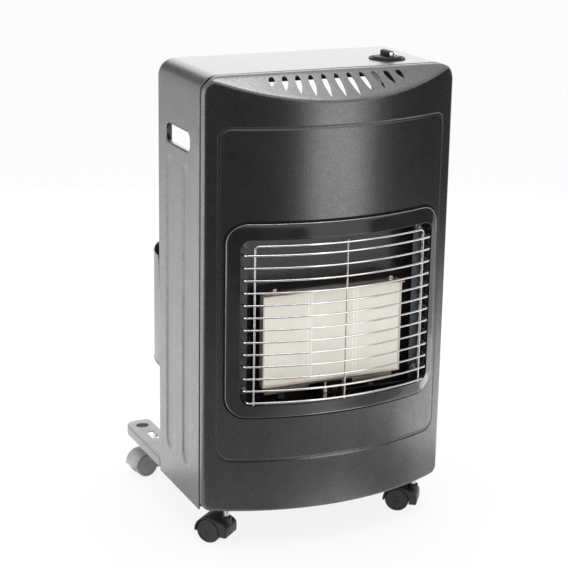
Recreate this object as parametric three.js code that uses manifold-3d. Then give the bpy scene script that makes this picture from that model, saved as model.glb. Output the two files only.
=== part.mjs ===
// Portable gas cabinet heater, in millimetres, +Z up, front towards -Y.
// The origin is the centre of the footprint at floor level.
import * as THREE from 'three';
import { mergeVertices } from 'three/addons/utils/BufferGeometryUtils.js';
import Module from 'manifold-3d';

const wasm = await Module();
wasm.setup();

// Cabinet shell
const bodyWidth = 420;
const shellDepth = 175;
const shellBottom = 58;
const shellTop = 746;
const cornerRadius = 27;
const sheet = 1.2;
const rearFlange = 23;
const rearApron = 48.6; // the rear flange's depth under the top
const seam = 0.6; // between the shell and the front panel
const fit = 0.3; // between pieces that touch
const ribDepth = 2;
const ribWidth = 34;
const ribBottom = 115;
const ribGap = 21; // from the ribs' tops to the hand hole
const ribInset = 38; // from the seam to the front rib and the hand hole
const ribRear = 32; // from the back to the rear rib
const handHoleLength = 106;
const handHoleHeight = 34;
const handHoleTop = 91; // hole top below the cabinet top

// Front panel
const panelBottom = 60.6;
const panelReturn = 13.6;
const panelFootRadius = 13;
const bulgeRise = 55.5;
const gableFall = 0.667; // drop of the sloped top for each mm it comes forward
const ventCount = 11;
const ventSpan = 208; // first slot to last slot
const ventLongest = 42;
const ventShortest = 18;
const ventWidth = 9.4;
const ventSetback = 6.5; // slot tops behind the front edge of the top return
const ventFan = 22; // degrees of lean of the end slots

// Raised window surround and its opening
const windowWidth = 365;
const windowBottom = 216.5;
const windowTop = 530.5;
const windowRadius = 34;
const surroundSide = 20;
const surroundRail = 26;
const surroundRise = 11.6;
const surroundLip = 3.2;
const surroundReturn = 12;
const openingRadius = 15;

// Wire guard
const wireGauge = 3;
const guardStandoff = 14; // from the bulge to the wire centres
const guardWires = 13;
const guardPitch = 19.5;
const guardLowest = 247.5;
const guardPostX = 143;
const guardTopWire = 495.3;
const guardHookX = 157;
const guardHookRadius = 7;

// Burner
const plaqueWidth = 78.2;
const plaqueHeight = 147;
const plaqueThickness = 13;
const plaqueJoint = 0.5;
const plaqueBottom = 262;
const plaqueFace = 35; // forward of the seam
const plenumDepth = 30;
const housingHalf = 166;
const housingBottom = 204;
const housingTop = 512;
const housingFront = 25;
const housingBack = 14;
const housingFlange = 6;
const clipX = 100;
const clipWidth = 5.6;
const clipHeight = 7.5;
const manifoldZ = 216;
const manifoldRadius = 6;
const manifoldHalf = 92;
const throatRadius = 12;
const throatPitch = 80;
const pilotX = 2;
const pilotLead = 7; // the pilot's face ahead of the plaques
const pilotZ = 240;
const pilotRow = [-14, 2, 17]; // electrode, burner and thermocouple from pilotX

// Gas control
const knobX = 128;
const knobBack = 55;
const bezelRadius = 29;
const bezelHeight = 3;
const knobRadius = 21;
const knobSkirt = 4;
const gripHeight = 9.2;
const gripWidth = 11;
const gripLength = 31;
const insertWidth = 8;
const knobTravel = 4;
const spindleRadius = 4;
const valveSize = 34;
const valveHeight = 40;
const valveDrop = 16; // valve top below the cabinet top
const bossHeight = 8;
const bossRadius = 9;

// Base tray, its two rear arms and the bottle guard
const trayTop = 77.5;
const traySkirt = 15.2;
const armReach = 354;
const armWidth = 46.7;
const armCorner = 22;
const trayRear = 290; // rear edge of the tray between its arms
const armHoleRadius = 11.5;
const armHoleSide = 25; // from the arm's outer edge
const armHoleEnd = 26; // from the arm's rear end
const armSlotWidth = 14;
const armSlotLength = 34;
const armSlotSide = 27;
const armSlotEnd = 59;
const bottleGuardBottom = 238;
const bottleGuardTop = 425;
const bottleGuardReach = 300;

// Castors
const castorFrontSide = 42; // stem from the cabinet's side
const castorFrontBack = -11.5;
const castorRearSide = 38.5;
const castorRearEnd = 51; // stem from the arm's rear end
const wheelRadius = 20;
const wheelWidth = 14;
const castorTrail = 24;
const hoodThickness = 2.7;
const hoodWeb = 7;
const hoodFront = 9.6; // ahead of the stem
const hoodFoot = 14;
const stemRadius = 5;
const axleRadius = 3;

const half = bodyWidth / 2;
const bulgeRadius = (half * half + bulgeRise * bulgeRise) / (2 * bulgeRise);
const bulgeCentre = bulgeRadius - bulgeRise - panelReturn; // behind the seam
const frontReach = panelReturn + bulgeRise + guardStandoff + wireGauge / 2;
const seamY = (frontReach - armReach) / 2;
const trayUnder = trayTop - sheet;
const handHoleFoot = shellTop - handHoleTop - handHoleHeight;
const ribTop = handHoleFoot - ribGap;

const finish = {
  charcoal: { color: 0x3b3a3d, roughness: 0.38, metalness: 0.3 },
  grey: { color: 0x8a8b8d, roughness: 0.42, metalness: 0.3 },
  chrome: { color: 0xe6e6e6, roughness: 0.12, metalness: 1 },
  steel: { color: 0xb4b6b8, roughness: 0.35, metalness: 0.9 },
  heatSteel: { color: 0x8d7f6c, roughness: 0.4, metalness: 0.9 },
  soot: { color: 0x2c2b2a, roughness: 0.6, metalness: 0.4 },
  ceramic: { color: 0xe3ddd2, roughness: 0.9, metalness: 0 },
  brass: { color: 0xb9973f, roughness: 0.3, metalness: 0.9 },
  copper: { color: 0xb56a45, roughness: 0.32, metalness: 0.9 },
  plastic: { color: 0x1e1e20, roughness: 0.5, metalness: 0 },
  rubber: { color: 0x2a2a2c, roughness: 0.75, metalness: 0 },
};

const heater = new THREE.Group();

// Turns a closed geometry into a solid for cutting and joining.
function solid(geometry) {
  geometry.deleteAttribute('normal');
  if (geometry.attributes.uv) geometry.deleteAttribute('uv');
  const merged = mergeVertices(geometry, 1e-4);
  return new wasm.Manifold(new wasm.Mesh({
    numProp: 3,
    vertProperties: Float32Array.from(merged.attributes.position.array),
    triVerts: Uint32Array.from(merged.index.array),
  }));
}

function geometryOf(body) {
  const mesh = body.getMesh();
  const geometry = new THREE.BufferGeometry();
  geometry.setAttribute('position', new THREE.BufferAttribute(mesh.vertProperties, 3));
  geometry.setIndex(new THREE.BufferAttribute(mesh.triVerts, 1));
  return geometry;
}

function add(name, body, look) {
  const geometry = body instanceof wasm.Manifold ? geometryOf(body) : body;
  const mesh = new THREE.Mesh(geometry, new THREE.MeshStandardMaterial(finish[look]));
  mesh.name = name;
  heater.add(mesh);
}

function joined(bodies) {
  return bodies.reduce((sum, body) => sum.add(body));
}

// Closed outline of points, with arcs worked out by its maker.
function outline(points) {
  return new THREE.Shape(points.map(([a, b]) => new THREE.Vector2(a, b)));
}

function roundedRect(x0, z0, x1, z1, radius, footRadius = radius) {
  const shape = new THREE.Shape();
  shape.moveTo(x0 + footRadius, z0);
  shape.lineTo(x1 - footRadius, z0);
  shape.absarc(x1 - footRadius, z0 + footRadius, footRadius, -Math.PI / 2, 0);
  shape.lineTo(x1, z1 - radius);
  shape.absarc(x1 - radius, z1 - radius, radius, 0, Math.PI / 2);
  shape.lineTo(x0 + radius, z1);
  shape.absarc(x0 + radius, z1 - radius, radius, Math.PI / 2, Math.PI);
  shape.lineTo(x0, z0 + footRadius);
  shape.absarc(x0 + footRadius, z0 + footRadius, footRadius, Math.PI, Math.PI * 1.5);
  return shape;
}

function extruded(shape, depth, segments) {
  return new THREE.ExtrudeGeometry(shape, { depth, bevelEnabled: false, curveSegments: segments });
}

// A shape drawn in X and Z, thick from one distance behind the seam to another.
function facing(shape, backFrom, backTo, segments = 6) {
  const geometry = extruded(shape, backTo - backFrom, segments);
  geometry.rotateX(Math.PI / 2);
  geometry.translate(0, seamY + backTo, 0);
  return solid(geometry);
}

// A shape drawn in X and distance behind the seam, standing from z0 to z1.
function standing(shape, z0, z1, segments = 8) {
  const geometry = extruded(shape, z1 - z0, segments);
  geometry.translate(0, seamY, z0);
  return solid(geometry);
}

// A shape drawn in distance behind the seam and Z, running from x0 to x1.
function crossing(shape, x0, x1, segments = 6) {
  const geometry = extruded(shape, x1 - x0, segments);
  geometry.rotateX(Math.PI / 2);
  geometry.rotateZ(Math.PI / 2);
  geometry.translate(x0, seamY, 0);
  return solid(geometry);
}

function block(x0, x1, back0, back1, z0, z1) {
  const geometry = new THREE.BoxGeometry(x1 - x0, back1 - back0, z1 - z0);
  geometry.translate((x0 + x1) / 2, seamY + (back0 + back1) / 2, (z0 + z1) / 2);
  return solid(geometry);
}

// A turned piece: [radius, height] pairs from the axis round and back to it.
function turned(profile, segments = 16) {
  const points = profile.map(([r, h]) => new THREE.Vector2(r, h));
  const geometry = new THREE.LatheGeometry(points, segments);
  geometry.rotateX(Math.PI / 2);
  return geometry;
}

function placed(geometry, x, back, z) {
  geometry.translate(x, seamY + back, z);
  return solid(geometry);
}

// A round wire or pipe along points given as [x, behind the seam, z].
function tube(points, radius, sides, steps, tension = 0.5) {
  const spots = points.map(([x, back, z]) => new THREE.Vector3(x, seamY + back, z));
  const path = new THREE.CatmullRomCurve3(spots, false, 'catmullrom', tension);
  const section = new THREE.Shape();
  for (let i = 0; i < sides; i += 1) {
    const turn = (i + 0.5) * 2 * Math.PI / sides;
    const point = [radius * Math.cos(turn), radius * Math.sin(turn)];
    if (i === 0) section.moveTo(...point);
    else section.lineTo(...point);
  }
  return new THREE.ExtrudeGeometry(section, { steps, extrudePath: path, bevelEnabled: false });
}

// Distance of the bulged front, or of a surface held off it, behind the seam.
function bulge(x, proud = 0) {
  return bulgeCentre - Math.sqrt((bulgeRadius + proud) ** 2 - x * x);
}

function bulgeArc(halfWidth, proud, count) {
  const points = [];
  for (let i = 0; i <= count; i += 1) {
    const x = halfWidth * (2 * i / count - 1);
    points.push([x, bulge(x, proud)]);
  }
  return points;
}

function sideRib(side, front) {
  const from = front ? ribInset : shellDepth - ribRear - ribWidth;
  const to = from + ribWidth;
  const face = side * half;
  const outer = roundedRect(from, ribBottom, to, ribTop, ribWidth / 2 - 0.5);
  const inner = roundedRect(from + sheet, ribBottom + sheet, to - sheet, ribTop - sheet, ribWidth / 2 - 1.7);
  const wall = [face - side * (ribDepth + sheet), face - side * sheet / 2].sort((p, q) => p - q);
  const dip = [face - side * ribDepth, face + side].sort((p, q) => p - q);
  return { bump: crossing(outer, ...wall, 3), pocket: crossing(inner, ...dip, 3) };
}

function cabinetShell() {
  const arch = (inset) => roundedRect(
    -half + inset, shellBottom - 60, half - inset, shellTop - inset, Math.max(cornerRadius - inset, 3), 3);
  let body = facing(arch(0), seam / 2, shellDepth)
    .subtract(facing(arch(sheet), -5, shellDepth - sheet))
    .subtract(facing(arch(rearFlange), 0, shellDepth + 5)
      .intersect(block(-half, half, 0, shellDepth + 6, shellBottom - 70, shellTop - rearApron)))
    .subtract(block(-half - 1, half + 1, -5, shellDepth + 5, shellBottom - 70, shellBottom));
  const trayGap = block(-half + sheet, half - sheet, shellDepth - sheet - 1, shellDepth + 1,
    shellBottom - 1, trayTop + 3);
  body = body.subtract(trayGap);
  for (const side of [-1, 1]) {
    for (const front of [true, false]) {
      const rib = sideRib(side, front);
      body = body.add(rib.bump).subtract(rib.pocket);
    }
    const hole = roundedRect(ribInset, handHoleFoot, ribInset + handHoleLength,
      handHoleFoot + handHoleHeight, handHoleHeight / 2 - 3);
    const reach = [side * half - side * 4, side * half + side * 2].sort((p, q) => p - q);
    body = body.subtract(crossing(hole, ...reach));
  }
  const well = knobRadius + 3.2;
  const knobHole = turned([[0, -8], [well, -8], [well, 4], [0, 4]], 32);
  return body.subtract(placed(knobHole, knobX, knobBack, shellTop));
}

function gable(drop, from, to) {
  const edge = panelReturn;
  return crossing(outline([
    [-edge, shellTop - drop],
    [-edge - 90, shellTop - drop - 90 * gableFall],
    [-edge - 90, shellTop + 60],
    [-edge, shellTop + 60],
  ]), from, to);
}

// One lens-shaped slot: its pointed top, its length forward and its lean.
function ventSlot(x, length, lean) {
  const shape = new THREE.Shape();
  shape.moveTo(0, 0);
  shape.quadraticCurveTo(ventWidth, -length / 2, 0, -length);
  shape.quadraticCurveTo(-ventWidth, -length / 2, 0, 0);
  const geometry = extruded(shape, 90, 5);
  geometry.rotateZ(lean);
  geometry.translate(x, seamY - panelReturn - ventSetback, shellTop - 60);
  return solid(geometry);
}

function ventBank() {
  const slots = [];
  for (let i = 0; i < ventCount; i += 1) {
    const place = 2 * i / (ventCount - 1) - 1;
    const length = ventLongest - (ventLongest - ventShortest) * place * place;
    slots.push(ventSlot(place * ventSpan / 2, length, THREE.MathUtils.degToRad(ventFan * place)));
  }
  return joined(slots);
}

function frontPanel() {
  const plan = (inset, rear) => outline([
    [half - inset, rear],
    [-half + inset, rear],
    ...bulgeArc(half - inset, -inset, 30),
  ]);
  const face = (inset, foot) => roundedRect(
    -half + inset, panelBottom + foot, half - inset, shellTop - inset,
    cornerRadius - inset, panelFootRadius - inset);
  const outer = standing(plan(0, -seam / 2), panelBottom - 5, shellTop + 5)
    .intersect(facing(face(0, 0), -120, 20))
    .subtract(gable(0, -half - 1, half + 1));
  const inner = standing(plan(sheet, 20), panelBottom - 5, shellTop + 5)
    .intersect(facing(face(sheet, sheet), -120, 30))
    .subtract(gable(sheet * Math.hypot(1, gableFall), -half - 1, half + 1));
  const window = roundedRect(-windowWidth / 2 + 7, windowBottom + 7, windowWidth / 2 - 7, windowTop - 7,
    windowRadius - 7);
  const footOpening = standing(plan(panelReturn, 20), panelBottom - 5, panelBottom + 5);
  return outer.subtract(inner).subtract(footOpening)
    .subtract(facing(window, -90, -20, 5)).subtract(ventBank());
}

// The surround is a ring: each profile point runs round a rounded rectangle,
// set in from the window's edge and held proud of the bulge.
function windowSurround() {
  const corners = 5;
  const ring = (side, rail, radius, proud) => {
    const x1 = windowWidth / 2 - side;
    const z0 = windowBottom + rail;
    const z1 = windowTop - rail;
    const points = [];
    const centres = [[x1 - radius, z0 + radius, -90], [x1 - radius, z1 - radius, 0],
      [-x1 + radius, z1 - radius, 90], [-x1 + radius, z0 + radius, 180]];
    centres.forEach(([cx, cz, start], corner) => {
      for (let i = 0; i <= corners; i += 1) {
        const turn = THREE.MathUtils.degToRad(start + 90 * i / corners);
        points.push([cx + radius * Math.cos(turn), cz + radius * Math.sin(turn)]);
      }
      const next = centres[(corner + 1) % 4];
      const last = points[points.length - 1];
      const turn = THREE.MathUtils.degToRad(next[2]);
      const goal = [next[0] + radius * Math.cos(turn), next[1] + radius * Math.sin(turn)];
      const stops = corner % 2 === 0 ? 1 : 8;
      for (let i = 1; i < stops; i += 1) {
        points.push([last[0] + (goal[0] - last[0]) * i / stops, last[1] + (goal[1] - last[1]) * i / stops]);
      }
    });
    return points.map(([x, z]) => [x, seamY + bulge(x) - proud, z]);
  };
  const radiusAt = (share) => windowRadius + (openingRadius - windowRadius) * share;
  const rings = [
    ring(0, 0, radiusAt(0), 2 * fit),
    ring(0.6, 0.6, radiusAt(0), surroundLip),
    ring(surroundSide, surroundRail, radiusAt(1), surroundRise),
    ring(surroundSide, surroundRail, radiusAt(1), surroundRise - surroundReturn),
    ring(surroundSide - sheet, surroundRail - sheet, radiusAt(1), surroundRise - surroundReturn),
    ring(surroundSide - sheet, surroundRail - sheet, radiusAt(1), surroundRise - 1.9),
    ring(2.2, 2.2, radiusAt(0), surroundLip - 1.1),
    ring(1.8, 1.8, radiusAt(0), 2 * fit),
  ];
  const count = rings[0].length;
  const positions = new Float32Array(rings.flat(2));
  const index = [];
  rings.forEach((points, r) => {
    const next = (r + 1) % rings.length;
    for (let i = 0; i < count; i += 1) {
      const j = (i + 1) % count;
      const [a, b, c, d] = [r * count + i, r * count + j, next * count + j, next * count + i];
      index.push(a, b, c, a, c, d);
    }
  });
  const geometry = new THREE.BufferGeometry();
  geometry.setAttribute('position', new THREE.BufferAttribute(positions, 3));
  geometry.setIndex(index);
  return geometry;
}

// A guard wire follows the bulge and turns back to the rods at both ends.
function guardWire(z, end) {
  const legBack = bulge(end - guardHookRadius, guardStandoff);
  const at = (x, back) => new THREE.Vector3(x, seamY + back, z);
  const reach = -housingFront - sheet - fit - wireGauge / 2;
  const spots = [at(-guardHookX, reach), at(-end, legBack + guardHookRadius),
    at(-end + guardHookRadius * 0.3, legBack + guardHookRadius * 0.3)];
  for (const [x, back] of bulgeArc(end - guardHookRadius, guardStandoff, 6)) {
    spots.push(at(x, back));
  }
  spots.push(at(end - guardHookRadius * 0.3, legBack + guardHookRadius * 0.3));
  spots.push(at(end, legBack + guardHookRadius), at(guardHookX, reach));
  return solid(wireThrough(spots, wireGauge / 2, 6));
}

// A wire through points, with one ring of the section at each point.
function wireThrough(spots, radius, sides) {
  const rings = spots.map((spot, i) => {
    const before = spots[Math.max(i - 1, 0)];
    const after = spots[Math.min(i + 1, spots.length - 1)];
    const inward = new THREE.Vector3().subVectors(spot, before).normalize();
    const outward = new THREE.Vector3().subVectors(after, spot).normalize();
    const along = inward.add(outward).normalize();
    const up = Math.abs(along.z) > 0.9 ? new THREE.Vector3(0, 1, 0) : new THREE.Vector3(0, 0, 1);
    const side = new THREE.Vector3().crossVectors(along, up).normalize();
    const over = new THREE.Vector3().crossVectors(side, along);
    return Array.from({ length: sides }, (_, k) => {
      const turn = k * 2 * Math.PI / sides;
      return spot.clone().addScaledVector(side, radius * Math.cos(turn))
        .addScaledVector(over, radius * Math.sin(turn));
    });
  });
  const positions = rings.flat().flatMap((p) => [p.x, p.y, p.z]);
  const index = [];
  for (let r = 0; r < rings.length - 1; r += 1) {
    for (let k = 0; k < sides; k += 1) {
      const m = (k + 1) % sides;
      const [a, b, c, d] = [r * sides + k, r * sides + m, (r + 1) * sides + m, (r + 1) * sides + k];
      index.push(a, c, b, a, d, c);
    }
  }
  const last = (rings.length - 1) * sides;
  for (let k = 1; k < sides - 1; k += 1) {
    index.push(0, k, k + 1, last, last + k + 1, last + k);
  }
  const geometry = new THREE.BufferGeometry();
  geometry.setAttribute('position', new THREE.BufferAttribute(new Float32Array(positions), 3));
  geometry.setIndex(index);
  return geometry;
}

function wireGuard() {
  const at = (x, back, z) => new THREE.Vector3(x, seamY + back, z);
  const behind = (x) => bulge(x, guardStandoff) + wireGauge * 0.8;
  const wires = [];
  for (let i = 0; i < guardWires; i += 1) {
    wires.push(guardWire(guardLowest + i * guardPitch, i ? guardHookX : guardHookX - 4.5));
  }
  const foot = guardLowest - 4;
  const bend = 5;
  const frame = [at(-guardPostX, behind(guardPostX), foot)];
  frame.push(at(-guardPostX, behind(guardPostX), guardTopWire - bend));
  for (const [x] of bulgeArc(guardPostX - bend, guardStandoff, 8)) {
    frame.push(at(x, behind(x), guardTopWire));
  }
  frame.push(at(guardPostX, behind(guardPostX), guardTopWire - bend));
  frame.push(at(guardPostX, behind(guardPostX), foot));
  wires.push(solid(wireThrough(frame, wireGauge / 2, 6)));
  const middle = [at(0, behind(0), foot), at(0, behind(0), guardTopWire + 4)];
  wires.push(solid(wireThrough(middle, wireGauge / 2, 6)));
  const rodBack = -housingFront - sheet - fit - wireGauge / 2;
  const rodTop = guardLowest + (guardWires - 1) * guardPitch;
  for (const side of [-1, 1]) {
    const rod = [at(side * guardHookX, rodBack, foot), at(side * guardHookX, rodBack, rodTop + 12)];
    wires.push(solid(wireThrough(rod, wireGauge / 2, 6)));
  }
  return joined(wires);
}

const screwX = guardHookX - 7;
const screwRows = [guardLowest + guardPitch / 2, guardLowest + (guardWires - 0.5) * guardPitch];
const rodFront = housingFront + sheet + fit + wireGauge;

// The head holds a guard rod against the housing flange.
function guardScrew(side, z) {
  const rear = 20;
  const under = rodFront + fit - rear;
  const geometry = new THREE.LatheGeometry([[0, 0], [2, 0], [2, under], [8, under], [7.4, under + 1.4],
    [4, under + 2.8], [0, under + 3]].map(([r, h]) => new THREE.Vector2(r, h)), 12);
  geometry.rotateX(Math.PI);
  return placed(geometry, side * screwX, -rear, z);
}

function burnerHousing() {
  const inside = housingHalf - sheet;
  const flange = housingHalf + housingFlange;
  const mouth = screwX - 8;
  const mouthFoot = manifoldZ - 4;
  let body = block(-housingHalf, housingHalf, -housingFront, housingBack, housingBottom, housingTop)
    .subtract(block(-inside, inside, -housingFront - 1, housingBack - sheet,
      housingBottom + sheet, housingTop - sheet))
    .add(block(-flange, flange, -housingFront - sheet, -housingFront,
      housingBottom - housingFlange, housingTop + housingFlange))
    .subtract(facing(roundedRect(-mouth, mouthFoot, mouth, guardTopWire + 6, 10),
      -housingFront - 5, -housingFront + 5, 4))
    .subtract(block(-140, 140, -12, 8, housingTop - 5, housingTop + 5))
    .subtract(block(housingHalf - 5, housingHalf + 5, -21, 5, manifoldZ - 8, manifoldZ + 26));
  for (const side of [-1, 1]) {
    for (const z of screwRows) {
      const hole = new THREE.CylinderGeometry(2.4, 2.4, 12, 8);
      body = body.subtract(placed(hole, side * screwX, -housingFront, z));
    }
  }
  return body;
}

const plaqueTop = plaqueBottom + plaqueHeight;
const stackHalf = 1.5 * plaqueWidth + plaqueJoint;
const plaqueBack = -plaqueFace + plaqueThickness;
const throats = [-throatPitch, 0, throatPitch];
const burnerBack = -8; // centre line of the throats and the manifold

function burnerPlenum() {
  const wall = 1.5;
  const front = plaqueBack + fit;
  const floor = plaqueBottom - 3;
  let body = block(-stackHalf - 1, stackHalf + 1, front, front + plenumDepth, floor, plaqueTop + 3)
    .subtract(block(-stackHalf + 3, stackHalf - 3, front - 1, front + plenumDepth - wall,
      floor + wall, plaqueTop + 3 - wall));
  for (const x of throats) {
    const horn = turned([[0, 0], [throatRadius + 3, 0], [throatRadius, 6], [throatRadius, 24], [0, 24]]);
    body = body.add(placed(horn, x, burnerBack, floor - 23.5));
    const bore = turned([[0, -1], [throatRadius - wall, -1], [throatRadius - wall, 26], [0, 26]]);
    body = body.subtract(placed(bore, x, burnerBack, floor - 23.5));
  }
  return body;
}

function plaque(place) {
  const x = place * (plaqueWidth + plaqueJoint);
  return block(x - plaqueWidth / 2, x + plaqueWidth / 2, -plaqueFace, plaqueBack, plaqueBottom, plaqueTop);
}

// The frame holds the plaques by a lip and carries a visor along its top.
function burnerFrame() {
  const gap = fit;
  const lip = 1.5;
  const outer = stackHalf + gap + sheet;
  const front = -plaqueFace - gap - sheet;
  return block(-outer, outer, front, plaqueBack - 1, plaqueBottom - gap - sheet, plaqueTop + gap + sheet)
    .subtract(block(-outer + sheet, outer - sheet, -plaqueFace - gap, plaqueBack + 5,
      plaqueBottom - gap, plaqueTop + gap))
    .subtract(block(-outer + sheet + lip, outer - sheet - lip, front - 5, -plaqueFace + 5,
      plaqueBottom + lip, plaqueTop - lip))
    .add(block(-outer, outer, front - 9, front + 0.5, plaqueTop + gap, plaqueTop + gap + sheet));
}

function plaqueClip(x) {
  const foot = plaqueTop + 2 * fit + sheet;
  const [left, right] = [x - clipWidth / 2, x + clipWidth / 2];
  return block(left, right, -plaqueFace, -plaqueFace + 12, foot, foot + sheet)
    .add(block(left, right, -plaqueFace, -plaqueFace + sheet, foot, foot + clipHeight))
    .subtract(block(x - 1, x + 1, -plaqueFace - 5, -plaqueFace + 5, foot + 3.4, foot + 5.4));
}

const apronTop = plaqueBottom - 3 * fit - sheet;

function burnerApron() {
  const front = -plaqueFace - 1;
  const [left, right] = [1.8 - stackHalf, stackHalf - 11.8];
  const body = block(left, right, front, front + sheet, apronTop - 11, apronTop)
    .add(block(left, right, front, front + 12, apronTop - sheet, apronTop));
  return body.subtract(block(pilotX - 42, pilotX + 34, front - 5, front + 20, apronTop - 20, apronTop - 2.5));
}

function burnerManifold() {
  const geometry = new THREE.CylinderGeometry(manifoldRadius, manifoldRadius, 2 * manifoldHalf, 12);
  geometry.rotateZ(Math.PI / 2);
  return placed(geometry, 0, burnerBack, manifoldZ);
}

function injector(x) {
  const profile = [[0, 0], [5, 0], [5, 6], [3, 7.5], [3, 12], [1.2, 15], [0, 15]];
  return placed(turned(profile, 12), x, burnerBack, manifoldZ + manifoldRadius + fit);
}

// Valve, spindle and knob share one upright axis; the ports are under the valve.
const valveTop = shellTop - valveDrop;
const valveFloor = valveTop - valveHeight;
const knobFloor = shellTop + 0.2;
const portLeft = knobX - 8;
const portRight = knobX + 8;
const portFront = knobBack - 11;
const portRear = knobBack + 9;
const portZ = valveFloor - 1.5;

// The pilot stands before the gap in the apron.
const pilotFace = plaqueFace + pilotLead;
const pilotAxis = -pilotFace + 3.9;

function pilotBracket() {
  const [left, right] = [pilotX - 24, pilotX + 26];
  const rear = -pilotFace + 9;
  return block(left, right, -pilotFace, rear, pilotZ, pilotZ + sheet)
    .add(block(left, right, rear - sheet, rear, pilotZ - 8, pilotZ + sheet))
    .subtract(joined(pilotRow.map((x) => placed(
      turned([[0, -5], [3.2, -5], [3.2, 5], [0, 5]], 12), pilotX + x, pilotAxis, pilotZ))));
}

function pilotBurner() {
  const profile = [[0, -10], [2.8, -10], [2.8, 3], [4.4, 3], [4.4, 9], [3.4, 12], [0, 12]];
  const x = pilotX + pilotRow[1];
  return placed(turned(profile, 12), x, pilotAxis, pilotZ)
    .subtract(block(x - 7, x + 5, -pilotFace, -pilotFace + 1.4, pilotZ + 6, pilotZ + 9));
}

// Pipes run up between the housing and the shell: x at a share of that channel's width.
function channel(share) {
  return housingHalf + (half - housingHalf) * share / 44;
}

// A lead drops from the pilot, leaves by the housing's side and rises to the valve.
function lead(from, x, back, z, top, radius, sides, steps) {
  const [x0, b0, z0] = from;
  return tube([from, [x0, b0 + 1, z0 - 7], [x0 + 16, (b0 + back) / 2, z - 1], [x0 + 50, back, z],
    [manifoldHalf + 8, back, z], [housingHalf - 8, back, z], [x - 10, back + 1, z + 4],
    [x, back + 6, z + 26], [x, back + 8, manifoldZ + 114], [x, back + 8, valveFloor - 210],
    [x, back + 8, valveFloor - 80], ...top], radius, sides, steps);
}

function thermocouple() {
  const x = pilotX + pilotRow[2];
  const tip = turned([[0, 0], [2.8, 0], [2.8, 18], [1.8, 20], [1.8, 28], [0, 29]], 10);
  const top = [[channel(10), 18, valveFloor - 40], [knobX + 12, 36, valveFloor - 35],
    [portLeft, portFront, valveFloor - 22], [portLeft, portFront, portZ]];
  const run = lead([x, pilotAxis, pilotZ - 9], channel(13), 0, manifoldZ + 8.5, top, 1.5, 6, 40);
  return placed(tip, x, pilotAxis, pilotZ - 11).add(solid(run));
}

function sparkElectrode() {
  const profile = [[0, -12], [1.2, -12], [1.2, -9], [2.8, -9], [2.8, 9], [1, 10], [1, 17], [0, 17]];
  return placed(turned(profile, 10), pilotX + pilotRow[0], pilotAxis, pilotZ);
}

function sparkLead() {
  const top = [[channel(0), 4, valveFloor - 50], [knobX + 22, 20, valveFloor - 40],
    [knobX + 2, 50, valveFloor - 38], [portLeft, portRear, valveFloor - 20], [portLeft, portRear, portZ]];
  const from = [pilotX + pilotRow[0], pilotAxis, pilotZ - 12.5];
  return solid(lead(from, channel(12), -17.5, manifoldZ + 16, top, 1.6, 6, 40));
}

function pilotPipe() {
  const top = [[channel(30), 20, valveFloor - 40], [knobX + 52, 50, valveFloor - 26],
    [knobX + 22, 62, valveFloor - 22], [portRight, portRear, valveFloor - 12], [portRight, portRear, portZ]];
  const from = [pilotX + pilotRow[1], pilotAxis, pilotZ - 10.5];
  return solid(lead(from, channel(32), -17, manifoldZ + 0.5, top, 2, 6, 40));
}

function burnerPipe() {
  const points = [[manifoldHalf + fit, burnerBack, manifoldZ], [manifoldHalf + 38, burnerBack, manifoldZ],
    [channel(6), burnerBack, manifoldZ], [channel(20), burnerBack + 2, manifoldZ + 14],
    [channel(22), burnerBack + 10, manifoldZ + 60], [channel(22), 2, manifoldZ + 184],
    [channel(22), 2, valveFloor - 100], [channel(22), 4, valveFloor - 50], [channel(10), 18, valveFloor - 26],
    [knobX + 22, 38, valveFloor - 18], [portRight, portFront, valveFloor - 10],
    [portRight, portFront, portZ]];
  return solid(tube(points, 4, 8, 40, 0.4));
}

function gasValve() {
  const r = valveSize / 2;
  const bore = turned([[0, -30], [spindleRadius + fit, -30], [spindleRadius + fit, 20], [0, 20]]);
  const boss = turned([[0, -2], [bossRadius, -2], [bossRadius, bossHeight], [0, bossHeight]]);
  return block(knobX - r, knobX + r, knobBack - r, knobBack + r, valveFloor, valveTop)
    .add(placed(boss, knobX, knobBack, valveTop))
    .subtract(placed(bore, knobX, knobBack, valveTop));
}

function valveBracket() {
  const base = valveTop + fit;
  const top = shellTop - sheet - fit;
  const bore = bossRadius + 0.4;
  let body = block(knobX - 29, knobX + 29, knobBack - 16, knobBack + 16, base, base + sheet)
    .subtract(placed(turned([[0, -5], [bore, -5], [bore, 5], [0, 5]]), knobX, knobBack, base));
  for (const side of [-1, 1]) {
    const wall = [knobX + side * 29, knobX + side * (29 - sheet)].sort((p, q) => p - q);
    const ear = [knobX + side * (29 - sheet), knobX + side * 41].sort((p, q) => p - q);
    body = body.add(block(...wall, knobBack - 16, knobBack + 16, base, top))
      .add(block(...ear, knobBack - 16, knobBack + 16, top - sheet, top));
  }
  return body;
}

function valveSpindle() {
  const rise = valveDrop + bossHeight;
  const profile = [[0, -26], [spindleRadius, -26], [spindleRadius, rise], [0, rise]];
  return placed(turned(profile), knobX, knobBack, valveTop);
}

function knobBezel() {
  const cup = knobRadius + 1.5;
  const floor = shellTop - 5.4;
  const rim = shellTop + fit;
  const profile = [[spindleRadius + 2, floor], [cup + sheet, floor], [cup + sheet, rim], [bezelRadius, rim],
    [bezelRadius, rim + bezelHeight - 1], [bezelRadius - 1, rim + bezelHeight],
    [bezelRadius - 2.5, rim + bezelHeight], [cup + 1, rim + 1.6], [cup, rim + 1.2], [cup, floor + sheet],
    [spindleRadius + 2, floor + sheet], [spindleRadius + 2, floor]];
  return placed(turned(profile, 24), knobX, knobBack, 0);
}

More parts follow.
